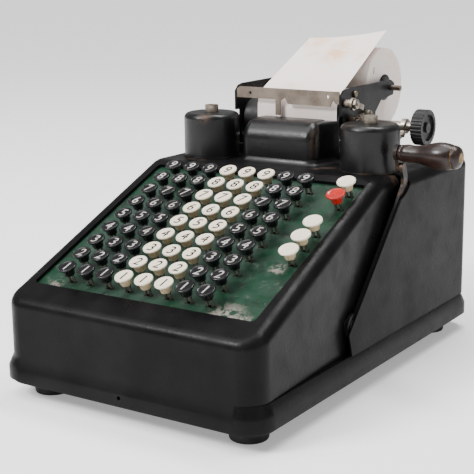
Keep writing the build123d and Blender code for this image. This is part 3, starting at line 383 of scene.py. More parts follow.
# ---- key plate ----------------------------------------------------------------------------
# The steel panel under the keys is enamelled dark green.  Fingers have dulled it to a grey
# green between the keys and rubbed it to bare metal by the slots and along its front.
SLOPE = radians(22.5)
UP_SLOPE = Vector((0, cos(SLOPE), sin(SLOPE)))
OFF_PANEL = Vector((0, -sin(SLOPE), cos(SLOPE)))
ROW_PITCH = 19.59 * MM
ROWS = 9
COLUMNS = 8
STEM_ABOVE = 6.4 * MM
STEM_BELOW = 22.0 * MM
STEM_HALF_T = 0.7 * MM


def middle_key(column):
    """Where the axis of a column's middle key meets the plane of the panel."""
    low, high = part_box(f"key_stems_column_{column}")
    return (low + high) / 2 + OFF_PANEL * (STEM_BELOW - STEM_ABOVE) / 2


def function_key_seat(name):
    """The same for a function key, from its highest y and lowest z, which are its stem's."""
    low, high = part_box(f"function_key_{name}")
    y = high.y - STEM_HALF_T * cos(SLOPE) - STEM_BELOW * sin(SLOPE)
    z = low.z + STEM_BELOW * cos(SLOPE) + STEM_HALF_T * sin(SLOPE)
    return Vector(((low.x + high.x) / 2, y, z))


GREEN_FRESH = (0.0035, 0.030, 0.0135, 1)
GREEN_DULL = (0.022, 0.047, 0.034, 1)
GREEN_GREY = (0.075, 0.082, 0.066, 1)
GRIME = (0.006, 0.010, 0.007, 1)
BARE_STEEL = (0.36, 0.32, 0.28, 1)
first_seat = middle_key(1) - UP_SLOPE * ROW_PITCH * 4
last_seat = middle_key(COLUMNS) + UP_SLOPE * ROW_PITCH * 4
keys_middle = (first_seat + last_seat) / 2
front_of_8 = middle_key(COLUMNS) - UP_SLOPE * ROW_PITCH * 4

plate_green, tree, shader = new_material("plate_green", Specular_IOR_Level=0.3)
dulled = maths(
    tree, "MULTIPLY",
    near(tree, keys_middle + Vector((-8 * MM, 6 * MM, 0)), 108 * MM, 0.55, (1, 0.82, 0.5)),
    ramp(tree, grain(tree, 16 * MM, 6.0, 0.6), 0.3, 0.55),
)
handled = maths(tree, "MAXIMUM", dulled, ramp(tree, grain(tree, 24 * MM, 7.0, 0.6), 0.56, 0.7, 0.0, 0.75))
green = blended(tree, handled, GREEN_FRESH, GREEN_DULL)
green = blended(tree, ramp(tree, grain(tree, 5 * MM, 8.0, 0.7), 0.54, 0.70, 0.0, 0.6), green, GREEN_GREY)
green = blended(tree, ramp(tree, grain(tree, 8 * MM, 7.0, 0.65), 0.5, 0.66, 0.0, 0.7), green, GRIME)
FRONT_WORN = (
    (front_of_8 + Vector((17 * MM, -7 * MM, -3 * MM)), 20 * MM),
    (front_of_8 + Vector((33 * MM, -13 * MM, -5 * MM)), 16 * MM),
    (first_seat + Vector((-12 * MM, -6 * MM, -3 * MM)), 9 * MM),
    (middle_key(3) - UP_SLOPE * ROW_PITCH * 4 + Vector((4 * MM, -11 * MM, -3 * MM)), 8 * MM),
    (function_key_seat("front") + Vector((-9 * MM, -6 * MM, -3 * MM)), 10 * MM),
    (function_key_seat("middle") + Vector((-10 * MM, 2 * MM, 0)), 7 * MM),
)
chipped = ramp(tree, grain(tree, 2.6 * MM, 9.0, 0.75), 0.655, 0.70)
for centre, reach in FRONT_WORN:
    patch = maths(
        tree, "MULTIPLY", near(tree, centre, reach, 0.1),
        ramp(tree, grain(tree, 3.2 * MM, 8.0, 0.7), 0.44, 0.56),
    )
    chipped = maths(tree, "MAXIMUM", chipped, patch)
tree.links.new(blended(tree, chipped, green, BARE_STEEL), shader.inputs["Base Color"])
tree.links.new(maths(tree, "MULTIPLY", chipped, 0.8), shader.inputs["Metallic"])
tree.links.new(ramp(tree, grain(tree, 7 * MM, 6.0), 0.3, 0.7, 0.3, 0.52), shader.inputs["Roughness"])
height = maths(tree, "SUBTRACT", grain(tree, 1.8 * MM, 3.0), maths(tree, "MULTIPLY", chipped, 0.5))
bumped(tree, shader, height, 0.1 * MM, 0.5)

key_plate = from_casting("key_plate", plate_green, edge=0.15 * MM)
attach(key_plate, "root")

# ---- keys ---------------------------------------------------------------------------------
# Each key is a polished composition button with a dished top, a rolled rim and a tapering
# neck, pressed on a flat nickelled steel stem with two legs.  The numerals are inlaid.
CAP_R = 7.5 * MM
CAP_TOP = 13.0 * MM
CAP_BOTTOM = 4.5 * MM
FUNCTION_CAP_R = 7.9 * MM
NUMERAL_SIZE = 13.0 * MM
NUMERAL_RAISE = 0.07 * MM


def key_button(name, radius):
    """The button of a key, standing on the panel's plane."""
    rings = (
        (3.9 * MM, CAP_BOTTOM),
        (4.25 * MM, CAP_BOTTOM + 0.25 * MM),
        (4.5 * MM, CAP_BOTTOM + 1.6 * MM),
        (5.1 * MM, CAP_TOP - 3.4 * MM),
        (5.5 * MM, CAP_TOP - 2.6 * MM),
        (radius - 0.9 * MM, CAP_TOP - 2.15 * MM),
        (radius - 0.3 * MM, CAP_TOP - 1.95 * MM),
        (radius, CAP_TOP - 1.5 * MM),
        (radius, CAP_TOP - 0.75 * MM),
        (radius - 0.22 * MM, CAP_TOP - 0.25 * MM),
        (radius - 0.7 * MM, CAP_TOP),
        (radius - 1.15 * MM, CAP_TOP - 0.12 * MM),
        (radius - 1.9 * MM, CAP_TOP - 0.42 * MM),
        (radius - 3.2 * MM, CAP_TOP - 0.5 * MM),
    )
    return turned(name, rings, 36)


def polished(name, colour, mottle, aged=0.25):
    """Polished composition: deep, nearly even colour, dulled in places by handling."""
    material, tree, shader = new_material(name, Specular_IOR_Level=0.3, Coat_Weight=0.12, Coat_Roughness=0.12)
    tone = ramp(tree, grain(tree, 9 * MM, 6.0, 0.6), 0.35, 0.72, 0.0, aged)
    tree.links.new(blended(tree, tone, colour, mottle), shader.inputs["Base Color"])
    tree.links.new(ramp(tree, grain(tree, 3 * MM, 6.0), 0.3, 0.7, 0.18, 0.36), shader.inputs["Roughness"])
    bumped(tree, shader, grain(tree, 1.4 * MM, 4.0), 0.03 * MM, 0.35)
    return material


def cream_composition():
    """Cream buttons are darker and browner down their necks, below the rim."""
    material, tree, shader = new_material(
        "cream_key", Specular_IOR_Level=0.5, Coat_Weight=0.2, Coat_Roughness=0.14
    )
    where = tree.nodes.new("ShaderNodeTexCoord").outputs["Object"]
    height = shader_node(tree, "VectorMath", {"operation": "DOT_PRODUCT"})
    tree.links.new(where, height.inputs[0])
    height.inputs[1].default_value = OFF_PANEL
    panel = OFF_PANEL.dot(first_seat)
    # Darker, browner colour from just under the rim down to the foot of the neck.
    lower = ramp(tree, height.outputs["Value"], panel + 9.5 * MM, panel + 12.2 * MM, 1.0, 0.0)
    aged = ramp(tree, grain(tree, 12 * MM, 5.0), 0.35, 0.75, 0.0, 0.4)
    top = blended(tree, aged, (0.82, 0.73, 0.59, 1), (0.74, 0.60, 0.42, 1))
    tree.links.new(blended(tree, lower, top, (0.56, 0.44, 0.27, 1)), shader.inputs["Base Color"])
    tree.links.new(ramp(tree, grain(tree, 3 * MM, 6.0), 0.3, 0.7, 0.2, 0.4), shader.inputs["Roughness"])
    bumped(tree, shader, grain(tree, 1.4 * MM, 4.0), 0.03 * MM, 0.35)
    return material


black_key = polished("black_key", (0.0035, 0.0035, 0.0045, 1), (0.012, 0.0115, 0.012, 1), 0.5)
cream_key = cream_composition()
red_key = polished("red_key", (0.42, 0.016, 0.010, 1), (0.28, 0.012, 0.010, 1), 0.6)
white_inlay = polished("white_inlay", (0.50, 0.48, 0.45, 1), (0.22, 0.20, 0.18, 1), 0.8)
black_inlay = polished("black_inlay", (0.005, 0.005, 0.006, 1), (0.03, 0.026, 0.022, 1), 0.5)
stem_nickel = metal(
    "stem_nickel", (0.30, 0.27, 0.23, 1), (0.09, 0.07, 0.055, 1), (0.3, 0.55), (1, 1, 0.1), 4 * MM
)

button = key_button("number_button", CAP_R)
function_button = key_button("function_button", FUNCTION_CAP_R)
place(function_button, (0, 0, 0), (SLOPE, 0, 0))
place(button, (0, 0, 0), (SLOPE, 0, 0))


def numeral(figure):
    """A figure lying in the dish of a button, turned to face up the slope."""
    bpy.ops.object.text_add()
    text = bpy.context.object
    text.data.body = str(figure)
    text.data.size = NUMERAL_SIZE
    text.data.shear = 0.12
    text.data.align_x = "CENTER"
    text.data.align_y = "CENTER"
    text.data.extrude = NUMERAL_RAISE
    text.data.resolution_u = 3
    alone(text)
    bpy.ops.object.convert(target="MESH")
    made = bpy.context.object
    corners = [vertex.co for vertex in made.data.vertices]
    middle_x = (max(c.x for c in corners) + min(c.x for c in corners)) / 2
    middle_y = (max(c.y for c in corners) + min(c.y for c in corners)) / 2
    place(made, (-middle_x, -middle_y, CAP_TOP - 0.5 * MM + NUMERAL_RAISE))
    place(made, (0, 0, 0), (SLOPE, 0, 0))
    edit_all(made)
    bpy.ops.mesh.remove_doubles(threshold=0.001 * MM)
    bpy.ops.mesh.normals_make_consistent(inside=False)
    close_edit()
    return made


numerals = [numeral(row + 1) for row in range(ROWS)]
CREAM_COLUMNS = (4, 5, 6)
for column in range(1, COLUMNS + 1):
    seat = middle_key(column)
    buttons, figures = [], []
    for row in range(ROWS):
        where = seat + UP_SLOPE * ROW_PITCH * (row - (ROWS - 1) / 2)
        each = copy_of(button, "button")
        place(each, where)
        buttons.append(each)
        figure = copy_of(numerals[row], "figure")
        place(figure, where)
        figures.append(figure)
    cream = column in CREAM_COLUMNS
    caps = joined(buttons, f"key_buttons_{column}")
    softened(caps, 60)
    put_on(caps, cream_key if cream else black_key)
    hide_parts(f"key_caps_column_{column}")
    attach(caps, f"key_column_{column}")
    inlay = joined(figures, f"key_numerals_{column}")
    put_on(inlay, black_inlay if cream else white_inlay)
    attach(inlay, f"key_column_{column}")
    stems = from_casting(f"key_stems_column_{column}", stem_nickel, edge=0.12 * MM, steps=1)
    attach(stems, f"key_column_{column}")


def function_stem(name, where):
    """The two legs of a function key's stem, cut from a flat strip."""
    legs = []
    for side in (-1, 1):
        bpy.ops.mesh.primitive_cube_add(size=1, location=(side * 2.3 * MM, 0, (STEM_ABOVE - STEM_BELOW) / 2))
        leg = bpy.context.object
        leg.scale = (2.0 * MM, 2 * STEM_HALF_T, STEM_ABOVE + STEM_BELOW)
        bpy.ops.object.transform_apply(location=True, rotation=True, scale=True)
        legs.append(leg)
    stem = joined(legs, name)
    modify(stem, "BEVEL", width=0.15 * MM, segments=1, limit_method="ANGLE", angle_limit=radians(40))
    place(stem, (0, 0, 0), (SLOPE, 0, 0))
    place(stem, where)
    return stem


for name in ("front", "middle", "upper", "red", "rear"):
    where = function_key_seat(name)
    cap = copy_of(function_button, f"function_button_{name}")
    place(cap, where)
    softened(cap, 60)
    put_on(cap, red_key if name == "red" else cream_key)
    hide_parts(f"function_key_{name}")
    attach(cap, f"function_key_{name}")
    stem = function_stem(f"function_stem_{name}", where)
    put_on(stem, stem_nickel)
    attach(stem, f"function_key_{name}")
for pattern in (button, function_button, *numerals):
    bpy.data.objects.remove(pattern)

# ---- works --------------------------------------------------------------------------------
# Inside the casing: machined steel frames, rods, shafts and combs, brass adding wheels and
# the drawn-wire return spring.
brass = metal("aged_brass", (0.42, 0.27, 0.10, 1), (0.16, 0.095, 0.04, 1), (0.25, 0.5), stain=5 * MM)
wire = metal("spring_wire", (0.26, 0.26, 0.27, 1), (0.12, 0.11, 0.10, 1), (0.25, 0.45))
WORKS = (
    ("stem_guide_plate", steel, "steel", "root"),
    ("side_frames", steel, "steel", "root"),
    ("frame_rods", steel, "steel", "root"),
    ("type_bar_comb", steel, "steel", "root"),
    ("main_shaft", steel, "steel", "crank"),
    ("reset_bail", steel, "steel", "crank"),
    ("adding_wheels", brass, "brass", "adding_wheels"),
    ("type_bars", steel, "steel", "type_bars"),
    ("ribbon_spool_left", steel, "steel", "ribbon_spool_left"),
    ("ribbon_spool_right", steel, "steel", "ribbon_spool_right"),
)
for name, finish, slot, body in WORKS:
    piece = from_casting(name, finish)
    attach(piece, body)
spring = from_casting("return_spring", wire, smooth_to=60)
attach(spring, "root")

# ---- crank --------------------------------------------------------------------------------
# A steel arm, enamelled black and rubbed brown near its top, swings beside the right wall.
# Its turned and polished hardwood grip runs on a riveted brass spindle.
arm_low, arm_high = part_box("crank_arm")
ARM_WORN = (
    ((arm_high.x, arm_high.y - 10 * MM, arm_high.z - 22 * MM), 16 * MM, (1, 0.8, 0.5)),
    ((arm_low.x, arm_high.y - 14 * MM, arm_high.z - 30 * MM), 14 * MM, (1, 1, 0.5)),
)
arm = from_casting("crank_arm", enamel("arm_enamel", ARM_WORN, wear=0.02), edge=0.35 * MM)
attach(arm, "crank")
spindle = from_casting("crank_spindle", brass, edge=0.25 * MM)
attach(spindle, "crank")

grip_wood, tree, shader = new_material(
    "grip_wood", Specular_IOR_Level=0.3, Coat_Weight=0.12, Coat_Roughness=0.2
)
along = grain(tree, 2.4 * MM, 6.0, 0.65, (0.07, 1, 1), warp=0.4)
pores = ramp(tree, grain(tree, 0.5 * MM, 4.0, 0.7, (0.05, 1, 1)), 0.56, 0.66)
figure = blended(tree, ramp(tree, along, 0.35, 0.68), (0.010, 0.0052, 0.0042, 1), (0.026, 0.0125, 0.009, 1))
tree.links.new(blended(tree, pores, figure, (0.005, 0.003, 0.0025, 1)), shader.inputs["Base Color"])
tree.links.new(ramp(tree, grain(tree, 8 * MM, 5.0), 0.3, 0.7, 0.26, 0.42), shader.inputs["Roughness"])
bumped(tree, shader, maths(tree, "SUBTRACT", along, pores), 0.03 * MM, 0.35)

grip_low, grip_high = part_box("crank_grip")
GRIP_L = grip_high.x - grip_low.x
BORE_R = 3.1 * MM
GRIP_RINGS = (
    (BORE_R, 1.5 * MM),
    (BORE_R, 0.0),
    (5.9 * MM, 0.0),
    (6.5 * MM, 0.5 * MM),
    (6.9 * MM, 2.2 * MM),
    (6.6 * MM, 3.1 * MM),
    (7.2 * MM, 4.2 * MM),
    (7.45 * MM, 6.5 * MM),
    (7.3 * MM, 9.5 * MM),
    (7.05 * MM, 13.0 * MM),
    (7.3 * MM, 17.0 * MM),
    (8.1 * MM, 21.0 * MM),
    (9.3 * MM, 25.5 * MM),
    (10.6 * MM, 30.5 * MM),
    (11.35 * MM, 35.0 * MM),
    (11.4 * MM, 39.0 * MM),
    (10.9 * MM, 43.0 * MM),
    (10.2 * MM, 46.0 * MM),
    (9.7 * MM, 47.0 * MM),
    (9.5 * MM, 47.6 * MM),
    (9.6 * MM, 48.6 * MM),
    (9.2 * MM, 50.6 * MM),
    (7.9 * MM, 52.4 * MM),
    (6.0 * MM, 53.6 * MM),
    (4.4 * MM, GRIP_L - 0.3 * MM),
    (4.4 * MM, GRIP_L - 1.5 * MM),
    (BORE_R, GRIP_L - 1.5 * MM),
    (BORE_R, 1.5 * MM),
)
grip = turned("crank_grip_finished", GRIP_RINGS, 56, hollow=True)
place(grip, (grip_low.x, (grip_low.y + grip_high.y) / 2, (grip_low.z + grip_high.z) / 2), (0, pi / 2, 0))
softened(grip, 45)
put_on(grip, grip_wood)
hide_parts("crank_grip")
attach(grip, "crank_grip")

RING_RINGS = (
    (9.3 * MM, 47.5 * MM),
    (9.65 * MM, 47.5 * MM),
    (9.8 * MM, 47.7 * MM),
    (9.8 * MM, 48.1 * MM),
    (9.6 * MM, 48.4 * MM),
    (9.3 * MM, 48.4 * MM),
    (9.3 * MM, 47.5 * MM),
)
ring = turned("grip_ring", RING_RINGS, 56, hollow=True)
place(ring, (grip_low.x, (grip_low.y + grip_high.y) / 2, (grip_low.z + grip_high.z) / 2), (0, pi / 2, 0))
softened(ring, 40)
ring_brass = metal(
    "ring_brass", (0.20, 0.12, 0.05, 1), (0.05, 0.028, 0.015, 1), (0.3, 0.5), stain=4 * MM, tarnish=0.45
)
put_on(ring, ring_brass)
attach(ring, "crank_grip")

# ---- side cover ---------------------------------------------------------------------------
# A pressed steel cover, enamelled like the casing, laps over its right rear corner and
# leaves a slot along its front edge for the crank arm.
cover_low, cover_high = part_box("side_cover")
COVER_WORN = (
    ((cover_high.x, cover_low.y + 1 * MM, 120 * MM), 20 * MM, (1, 4.0, 0.5)),
    ((cover_high.x - 4 * MM, cover_low.y + 98 * MM, DECK_Z - 6 * MM), 8 * MM, (1, 0.7, 1.2)),
)
cover = from_casting("side_cover", enamel("cover_enamel", COVER_WORN, gloss=0.04), edge=0.3 * MM)
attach(cover, "root")

# ---- type hood and ribbon spools ----------------------------------------------------------
# The hood over the type bars and the two spool covers are deep-drawn steel, enamelled black.
# Each spool cover is held down by a slotted nut on its post.
HOOD_WORN = (
    ((hood_high.x, hood_low.y + 3 * MM, hood_high.z - 14 * MM), 12 * MM, (2.2, 1, 0.5)),
    ((hood_low.x + 2 * MM, hood_low.y + 8 * MM, hood_high.z - 4 * MM), 6 * MM, (1, 1, 1)),
)
hood = from_casting("hood", enamel("hood_enamel", HOOD_WORN, pebble=1.2 * MM, gloss=0.28), edge=0.2 * MM)
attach(hood, "root")


def on_plan(name, corners):
    """A flat face seen from above, with its four corners at (x, y)."""
    bpy.ops.mesh.primitive_plane_add(size=1, location=(0, 0, 0))
    face = bpy.context.object
    face.name = name
    for vertex, (x, y) in zip(face.data.vertices, corners):
        vertex.co = (x, y, DECK_Z)
    return face


# The hood's right flank flares out to the carriage plate, and the casting's skin runs up to
# the hood's foot in a hollow fillet.
plate_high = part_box("carriage_plate_right")[1]
FLANK_LAP = 4 * MM
FLANK_INSET = 0.2 * MM
FLANK_CORNERS = (
    (hood_high.x - FLANK_LAP, hood_low.y + 13 * MM),
    (hood_high.x - FLANK_INSET, hood_low.y + 10 * MM),
    (hood_high.x - FLANK_LAP, hood_high.y + FLANK_INSET),
    (plate_high.x - 0.5 * MM, hood_high.y + FLANK_INSET),
)
flank = on_plan("hood_flank", FLANK_CORNERS)
edit_all(flank)
flank_height = hood_high.z - DECK_Z - 0.3 * MM
bpy.ops.mesh.extrude_region_move(TRANSFORM_OT_translate={"value": (0, 0, flank_height)})
bpy.ops.mesh.select_all(action="SELECT")
bpy.ops.mesh.normals_make_consistent(inside=False)
close_edit()
modify(flank, "BEVEL", width=5 * MM, segments=6, limit_method="ANGLE", angle_limit=radians(40))
softened(flank, 50)
put_on(flank, hood.data.materials[0])
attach(flank, "root")

FILLET_RINGS = ((5.0, 0.02), (3.2, 0.35), (1.8, 1.1), (0.8, 2.3), (0.2, 3.9), (-0.25, 5.4))
FILLET_RUN_OUT = 8 * MM
FILLET_CORNER_R = 8 * MM
FOOT_CORNERS = (
    (hood_low.x, hood_low.y),
    (hood_high.x, hood_low.y),
    (hood_low.x, hood_high.y + FILLET_RUN_OUT),
    (plate_high.x + 1 * MM, hood_high.y + FILLET_RUN_OUT),
)
fillet = on_plan("hood_fillet", FOOT_CORNERS)
edit_all(fillet)
bpy.ops.mesh.bevel(offset=FILLET_CORNER_R, segments=6, affect="VERTICES")
bpy.ops.mesh.delete(type="ONLY_FACE")
bpy.ops.mesh.select_all(action="SELECT")
foot_w = plate_high.x - hood_low.x
foot_d = hood_high.y + FILLET_RUN_OUT - hood_low.y
out, rise = FILLET_RINGS[0]
bpy.ops.transform.resize(value=(1 + 2 * out * MM / foot_w, 1 + 2 * out * MM / foot_d, 1))
bpy.ops.transform.translate(value=(0, 0, rise * MM))
for next_out, next_rise in FILLET_RINGS[1:]:
    bpy.ops.mesh.extrude_region_move(TRANSFORM_OT_translate={"value": (0, 0, (next_rise - rise) * MM)})
    ratio_x = (foot_w + 2 * next_out * MM) / (foot_w + 2 * out * MM)
    ratio_y = (foot_d + 2 * next_out * MM) / (foot_d + 2 * out * MM)
    bpy.ops.transform.resize(value=(ratio_x, ratio_y, 1))
    out, rise = next_out, next_rise
bpy.ops.mesh.select_all(action="SELECT")
bpy.ops.mesh.normals_make_consistent(inside=False)
bpy.ops.mesh.bisect(plane_co=(0, hood_high.y, 0), plane_no=(0, 1, 0), clear_outer=True)
close_edit()
modify(fillet, "SOLIDIFY", thickness=0.5 * MM, offset=-1.0)
softened(fillet, 60)
put_on(fillet, hood.data.materials[0])
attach(fillet, "root")

SPOOL_WORN = (
    ((spool_right.x, right_spool_low.y, DECK_Z), 26 * MM, (0.45, 0.6, 12.0)),
    ((spool_right.x - 9 * MM, right_spool_low.y + 4 * MM, right_spool_high.z - 2 * MM), 9 * MM, (1, 1, 1)),
    ((spool_left.x + 8 * MM, left_spool_low.y + 3 * MM, left_spool_high.z - 2 * MM), 9 * MM, (1, 1, 1)),
)
spool_enamel = enamel("spool_enamel", SPOOL_WORN, pebble=1.2 * MM, gloss=0.34)
for side in ("left", "right"):
    cup = from_casting(f"spool_cover_{side}", spool_enamel, edge=0.15 * MM)
    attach(cup, "root")
nickel = metal(
    "worn_nickel", (0.36, 0.32, 0.27, 1), (0.13, 0.10, 0.075, 1), (0.26, 0.5), (0.15, 1, 1), 8 * MM
)
posts = from_casting("spool_posts", nickel, edge=0.4 * MM)
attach(posts, "root")

# ---- carriage -----------------------------------------------------------------------------
# Enamelled side plates on a steel bed carry the platen, the paper roll and the tear bar,
# which is nickelled steel with a plain upper edge and a notched lower one.
plate_enamel = enamel("plate_enamel", pebble=1.1 * MM)
for side in ("left", "right"):
    plate = from_casting(f"carriage_plate_{side}", plate_enamel, edge=0.35 * MM)
    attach(plate, "root")
bar_nickel = metal(
    "bar_nickel", (0.25, 0.205, 0.17, 1), (0.15, 0.12, 0.095, 1), (0.34, 0.5), (0.05, 1, 1), 16 * MM
)
old_brass = metal(
    "old_brass", (0.24, 0.19, 0.12, 1), (0.09, 0.065, 0.045, 1), (0.28, 0.5), stain=5 * MM, tarnish=0.45
)
CARRIAGE_STEEL = (
    ("carriage_bed", nickel, "root", 0.3),
    ("tear_bar", bar_nickel, "root", 0.2),
    ("roll_spindle", nickel, "root", 0.4),
    ("carriage_fasteners", old_brass, "root", 0.35),
    ("platen_shaft", nickel, "platen", 0.2),
    ("release_lever", nickel, "release_lever", 0.2),
    ("pawl_lever", nickel, "pawl_lever", 0.25),
)
for name, finish, body, edge in CARRIAGE_STEEL:
    piece = from_casting(name, finish, edge=edge * MM)
    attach(piece, body)

# The detent on the right plate's outer face is nickelled too: a sleeve and a cap nut on the
# pawl's pivot, and a small roller and two feet below it.
pawl_low, pawl_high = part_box("pawl_lever")
PIVOT_Y = 72.5 * MM
PIVOT_Z = 216.5 * MM
ROLLER_Y = 112 * MM
ROLLER_Z = 202.5 * MM
PAWL_GAP = 0.2 * MM
cap_end = pawl_high.x + 3.0 * MM
roller_end = plate_high.x + 5.0 * MM
DETENT = (
    ("detent_sleeve", 40, 3.7, plate_high.x, pawl_low.x - PAWL_GAP, PIVOT_Y, PIVOT_Z),
    ("detent_cap_nut", 6, 4.6, pawl_high.x + PAWL_GAP, cap_end, PIVOT_Y, PIVOT_Z),
    ("detent_cap_pin", 24, 1.9, cap_end, pawl_high.x + 4.0 * MM, PIVOT_Y, PIVOT_Z),
    ("detent_roller", 40, 4.4, plate_high.x, roller_end, ROLLER_Y, ROLLER_Z),
    ("detent_roller_pin", 24, 1.6, roller_end, plate_high.x + 7.5 * MM, ROLLER_Y, ROLLER_Z),
    ("detent_foot_left", 6, 2.6, plate_high.x, plate_high.x + 6.0 * MM, 82 * MM, 201.5 * MM),
    ("detent_foot_right", 6, 2.6, plate_high.x, plate_high.x + 6.0 * MM, 94 * MM, 200.5 * MM),
)
for name, sides, radius, start, end, y, z in DETENT:
    length = end - start
    bpy.ops.mesh.primitive_cylinder_add(vertices=sides, radius=radius * MM, depth=length)
    part = bpy.context.object
    part.name = name
    place(part, ((start + end) / 2, y, z), (0, pi / 2, 0))
    modify(part, "BEVEL", width=0.35 * MM, segments=2, limit_method="ANGLE", angle_limit=radians(50))
    softened(part, 45)
    put_on(part, nickel)
    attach(part, "root")

# ---- platen, pressure roller and knob -----------------------------------------------------
# The platen is ground rubber on a steel shaft, turned by a ribbed hard-rubber knob with a
# dished face.  A small rubber roller holds the paper to it from below.
platen_rubber, tree, shader = new_material("platen_rubber", Specular_IOR_Level=0.35)
bands = grain(tree, 1.2 * MM, 5.0, 0.6, (1, 0.15, 0.15))
ground_black = blended(tree, bands, (0.010, 0.010, 0.010, 1), (0.024, 0.023, 0.022, 1))
tree.links.new(ground_black, shader.inputs["Base Color"])
tree.links.new(ramp(tree, bands, 0.3, 0.7, 0.42, 0.6), shader.inputs["Roughness"])
bumped(tree, shader, bands, 0.05 * MM, 0.5)
for name, body in (("platen_roller", "platen"), ("pressure_roller", "pressure_roller")):
    roller = from_casting(name, platen_rubber, edge=0.4 * MM)
    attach(roller, body)

hard_rubber, tree, shader = new_material("hard_rubber", Specular_IOR_Level=0.2)
bloom = ramp(tree, grain(tree, 5 * MM, 6.0), 0.35, 0.7)
moulded_black = blended(tree, bloom, (0.009, 0.009, 0.0095, 1), (0.022, 0.021, 0.020, 1))
tree.links.new(moulded_black, shader.inputs["Base Color"])
tree.links.new(ramp(tree, grain(tree, 2 * MM, 5.0), 0.3, 0.7, 0.3, 0.48), shader.inputs["Roughness"])
bumped(tree, shader, grain(tree, 0.8 * MM, 4.0), 0.05 * MM, 0.4)
knob = from_casting("platen_knob", hard_rubber, edge=0.35 * MM, smooth_to=50)
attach(knob, "platen")
core = from_casting("roll_core", hard_rubber, edge=0.4 * MM)
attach(core, "paper_roll")

# ---- paper --------------------------------------------------------------------------------
# The roll of old, uncoated paper is wound on its core.  The strip runs from the underside of
# the roll, round the platen, up behind the tear bar, and lies back over the roll.
PAPER_WHITE = (0.88, 0.81, 0.77, 1)
PAPER_PINK = (0.86, 0.74, 0.69, 1)
PAPER_TAN = (0.80, 0.53, 0.35, 1)
roll_low, roll_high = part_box("paper_roll")
roll_centre = (roll_low + roll_high) / 2
ROLL_R = (roll_high.z - roll_low.z) / 2
CORE_R = 9.0 * MM


def paper(name, wound=False, stains=()):
    """Aged paper, faintly pink, with tan stains; a wound end shows its layers."""
    material, tree, shader = new_material(
        name, Specular_IOR_Level=0.2, Subsurface_Weight=0.08, Subsurface_Scale=0.4 * MM
    )
    tone = ramp(tree, grain(tree, 30 * MM, 6.0), 0.35, 0.7)
    colour = blended(tree, tone, PAPER_WHITE, PAPER_PINK)
    stained = ramp(tree, grain(tree, 22 * MM, 7.0, 0.6), 0.53, 0.75, 0.0, 0.55)
    for centre, reach, squash in stains:
        spread = maths(
            tree, "MULTIPLY", near(tree, centre, reach, 0.1, squash),
            ramp(tree, grain(tree, 12 * MM, 7.0, 0.6), 0.36, 0.56),
        )
        stained = maths(tree, "MAXIMUM", stained, spread)
    colour = blended(tree, stained, colour, PAPER_TAN)
    fibre = grain(tree, 0.6 * MM, 5.0, 0.7)
    height = fibre
    if wound:
        where = tree.nodes.new("ShaderNodeTexCoord").outputs["Object"]
        moved = shader_node(tree, "Mapping", Vector=where, Location=tuple(-c for c in roll_centre))
        flat = shader_node(tree, "VectorMath", {"operation": "MULTIPLY"})
        tree.links.new(moved.outputs[0], flat.inputs[0])
        flat.inputs[1].default_value = (0, 1, 1)
        out = shader_node(tree, "VectorMath", {"operation": "LENGTH"})
        tree.links.new(flat.outputs[0], out.inputs[0])
        layers = shader_node(
            tree, "TexNoise", {"noise_dimensions": "1D"}, W=out.outputs["Value"], Scale=2600.0, Detail=3.0,
        ).outputs["Fac"]
        lined = ramp(tree, layers, 0.42, 0.62, 0.0, 0.35)
        colour = blended(tree, lined, colour, PAPER_PINK)
        height = maths(tree, "ADD", layers, maths(tree, "MULTIPLY", fibre, 0.3))
    tree.links.new(colour, shader.inputs["Base Color"])
    tree.links.new(ramp(tree, fibre, 0.3, 0.7, 0.74, 0.9), shader.inputs["Roughness"])
    bumped(tree, shader, height, 0.06 * MM, 0.4)
    return material


roll_paper = paper("roll_paper", wound=True)
half = (roll_high.x - roll_low.x) / 2
ROLL_RINGS = (
    (CORE_R + 0.02 * MM, -half),
    (CORE_R + 6 * MM, -half + 0.5 * MM),
    (22 * MM, -half + 0.25 * MM),
    (ROLL_R - 3 * MM, -half + 0.1 * MM),
    (ROLL_R - 0.25 * MM, -half + 0.2 * MM),
    (ROLL_R, -half + 0.7 * MM),
    (ROLL_R - 0.05 * MM, 0.0),
    (ROLL_R, half - 0.7 * MM),
    (ROLL_R - 0.25 * MM, half - 0.15 * MM),
    (ROLL_R - 3 * MM, half),
    (22 * MM, half - 0.2 * MM),
    (CORE_R + 6 * MM, half - 0.45 * MM),
    (CORE_R + 0.02 * MM, half - 0.1 * MM),
    (CORE_R + 0.02 * MM, -half),
)
roll = turned("paper_roll_finished", ROLL_RINGS, 96, hollow=True)
place(roll, roll_centre, (0, pi / 2, 0))
softened(roll, 40)
put_on(roll, roll_paper)
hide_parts("paper_roll")
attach(roll, "paper_roll")

# The core ends in a black flange, and the end of the roll has a small slit.
FLANGE_BORE_R = CORE_R - 0.1 * MM
FLANGE_R = 12.2 * MM
FLANGE_T = 0.8 * MM
FLANGE_RINGS = (
    (FLANGE_BORE_R, 0.0),
    (FLANGE_R, 0.0),
    (FLANGE_R, 0.5 * MM),
    (11.8 * MM, FLANGE_T),
    (FLANGE_BORE_R, FLANGE_T),
    (FLANGE_BORE_R, 0.0),
)
flange = turned("core_flange", FLANGE_RINGS, 56, hollow=True)
place(flange, (roll_high.x - 0.1 * MM, roll_centre.y, roll_centre.z), (0, pi / 2, 0))
softened(flange, 40)
put_on(flange, hard_rubber)
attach(flange, "paper_roll")
# The slit is painted shade: a thin block of black hard rubber just under the roll's end face stands for the
# shadow inside it.
bpy.ops.mesh.primitive_cube_add(size=1)
slit = bpy.context.object
slit.name = "roll_end_slit"
slit.scale = (0.5 * MM, 1.2 * MM, 6.0 * MM)
SLIT_PLACE = (roll_high.x - 0.3 * MM, 142.8 * MM, 239.1 * MM)
place(slit, SLIT_PLACE, (radians(-8), 0, 0))
put_on(slit, hard_rubber)
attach(slit, "paper_roll")

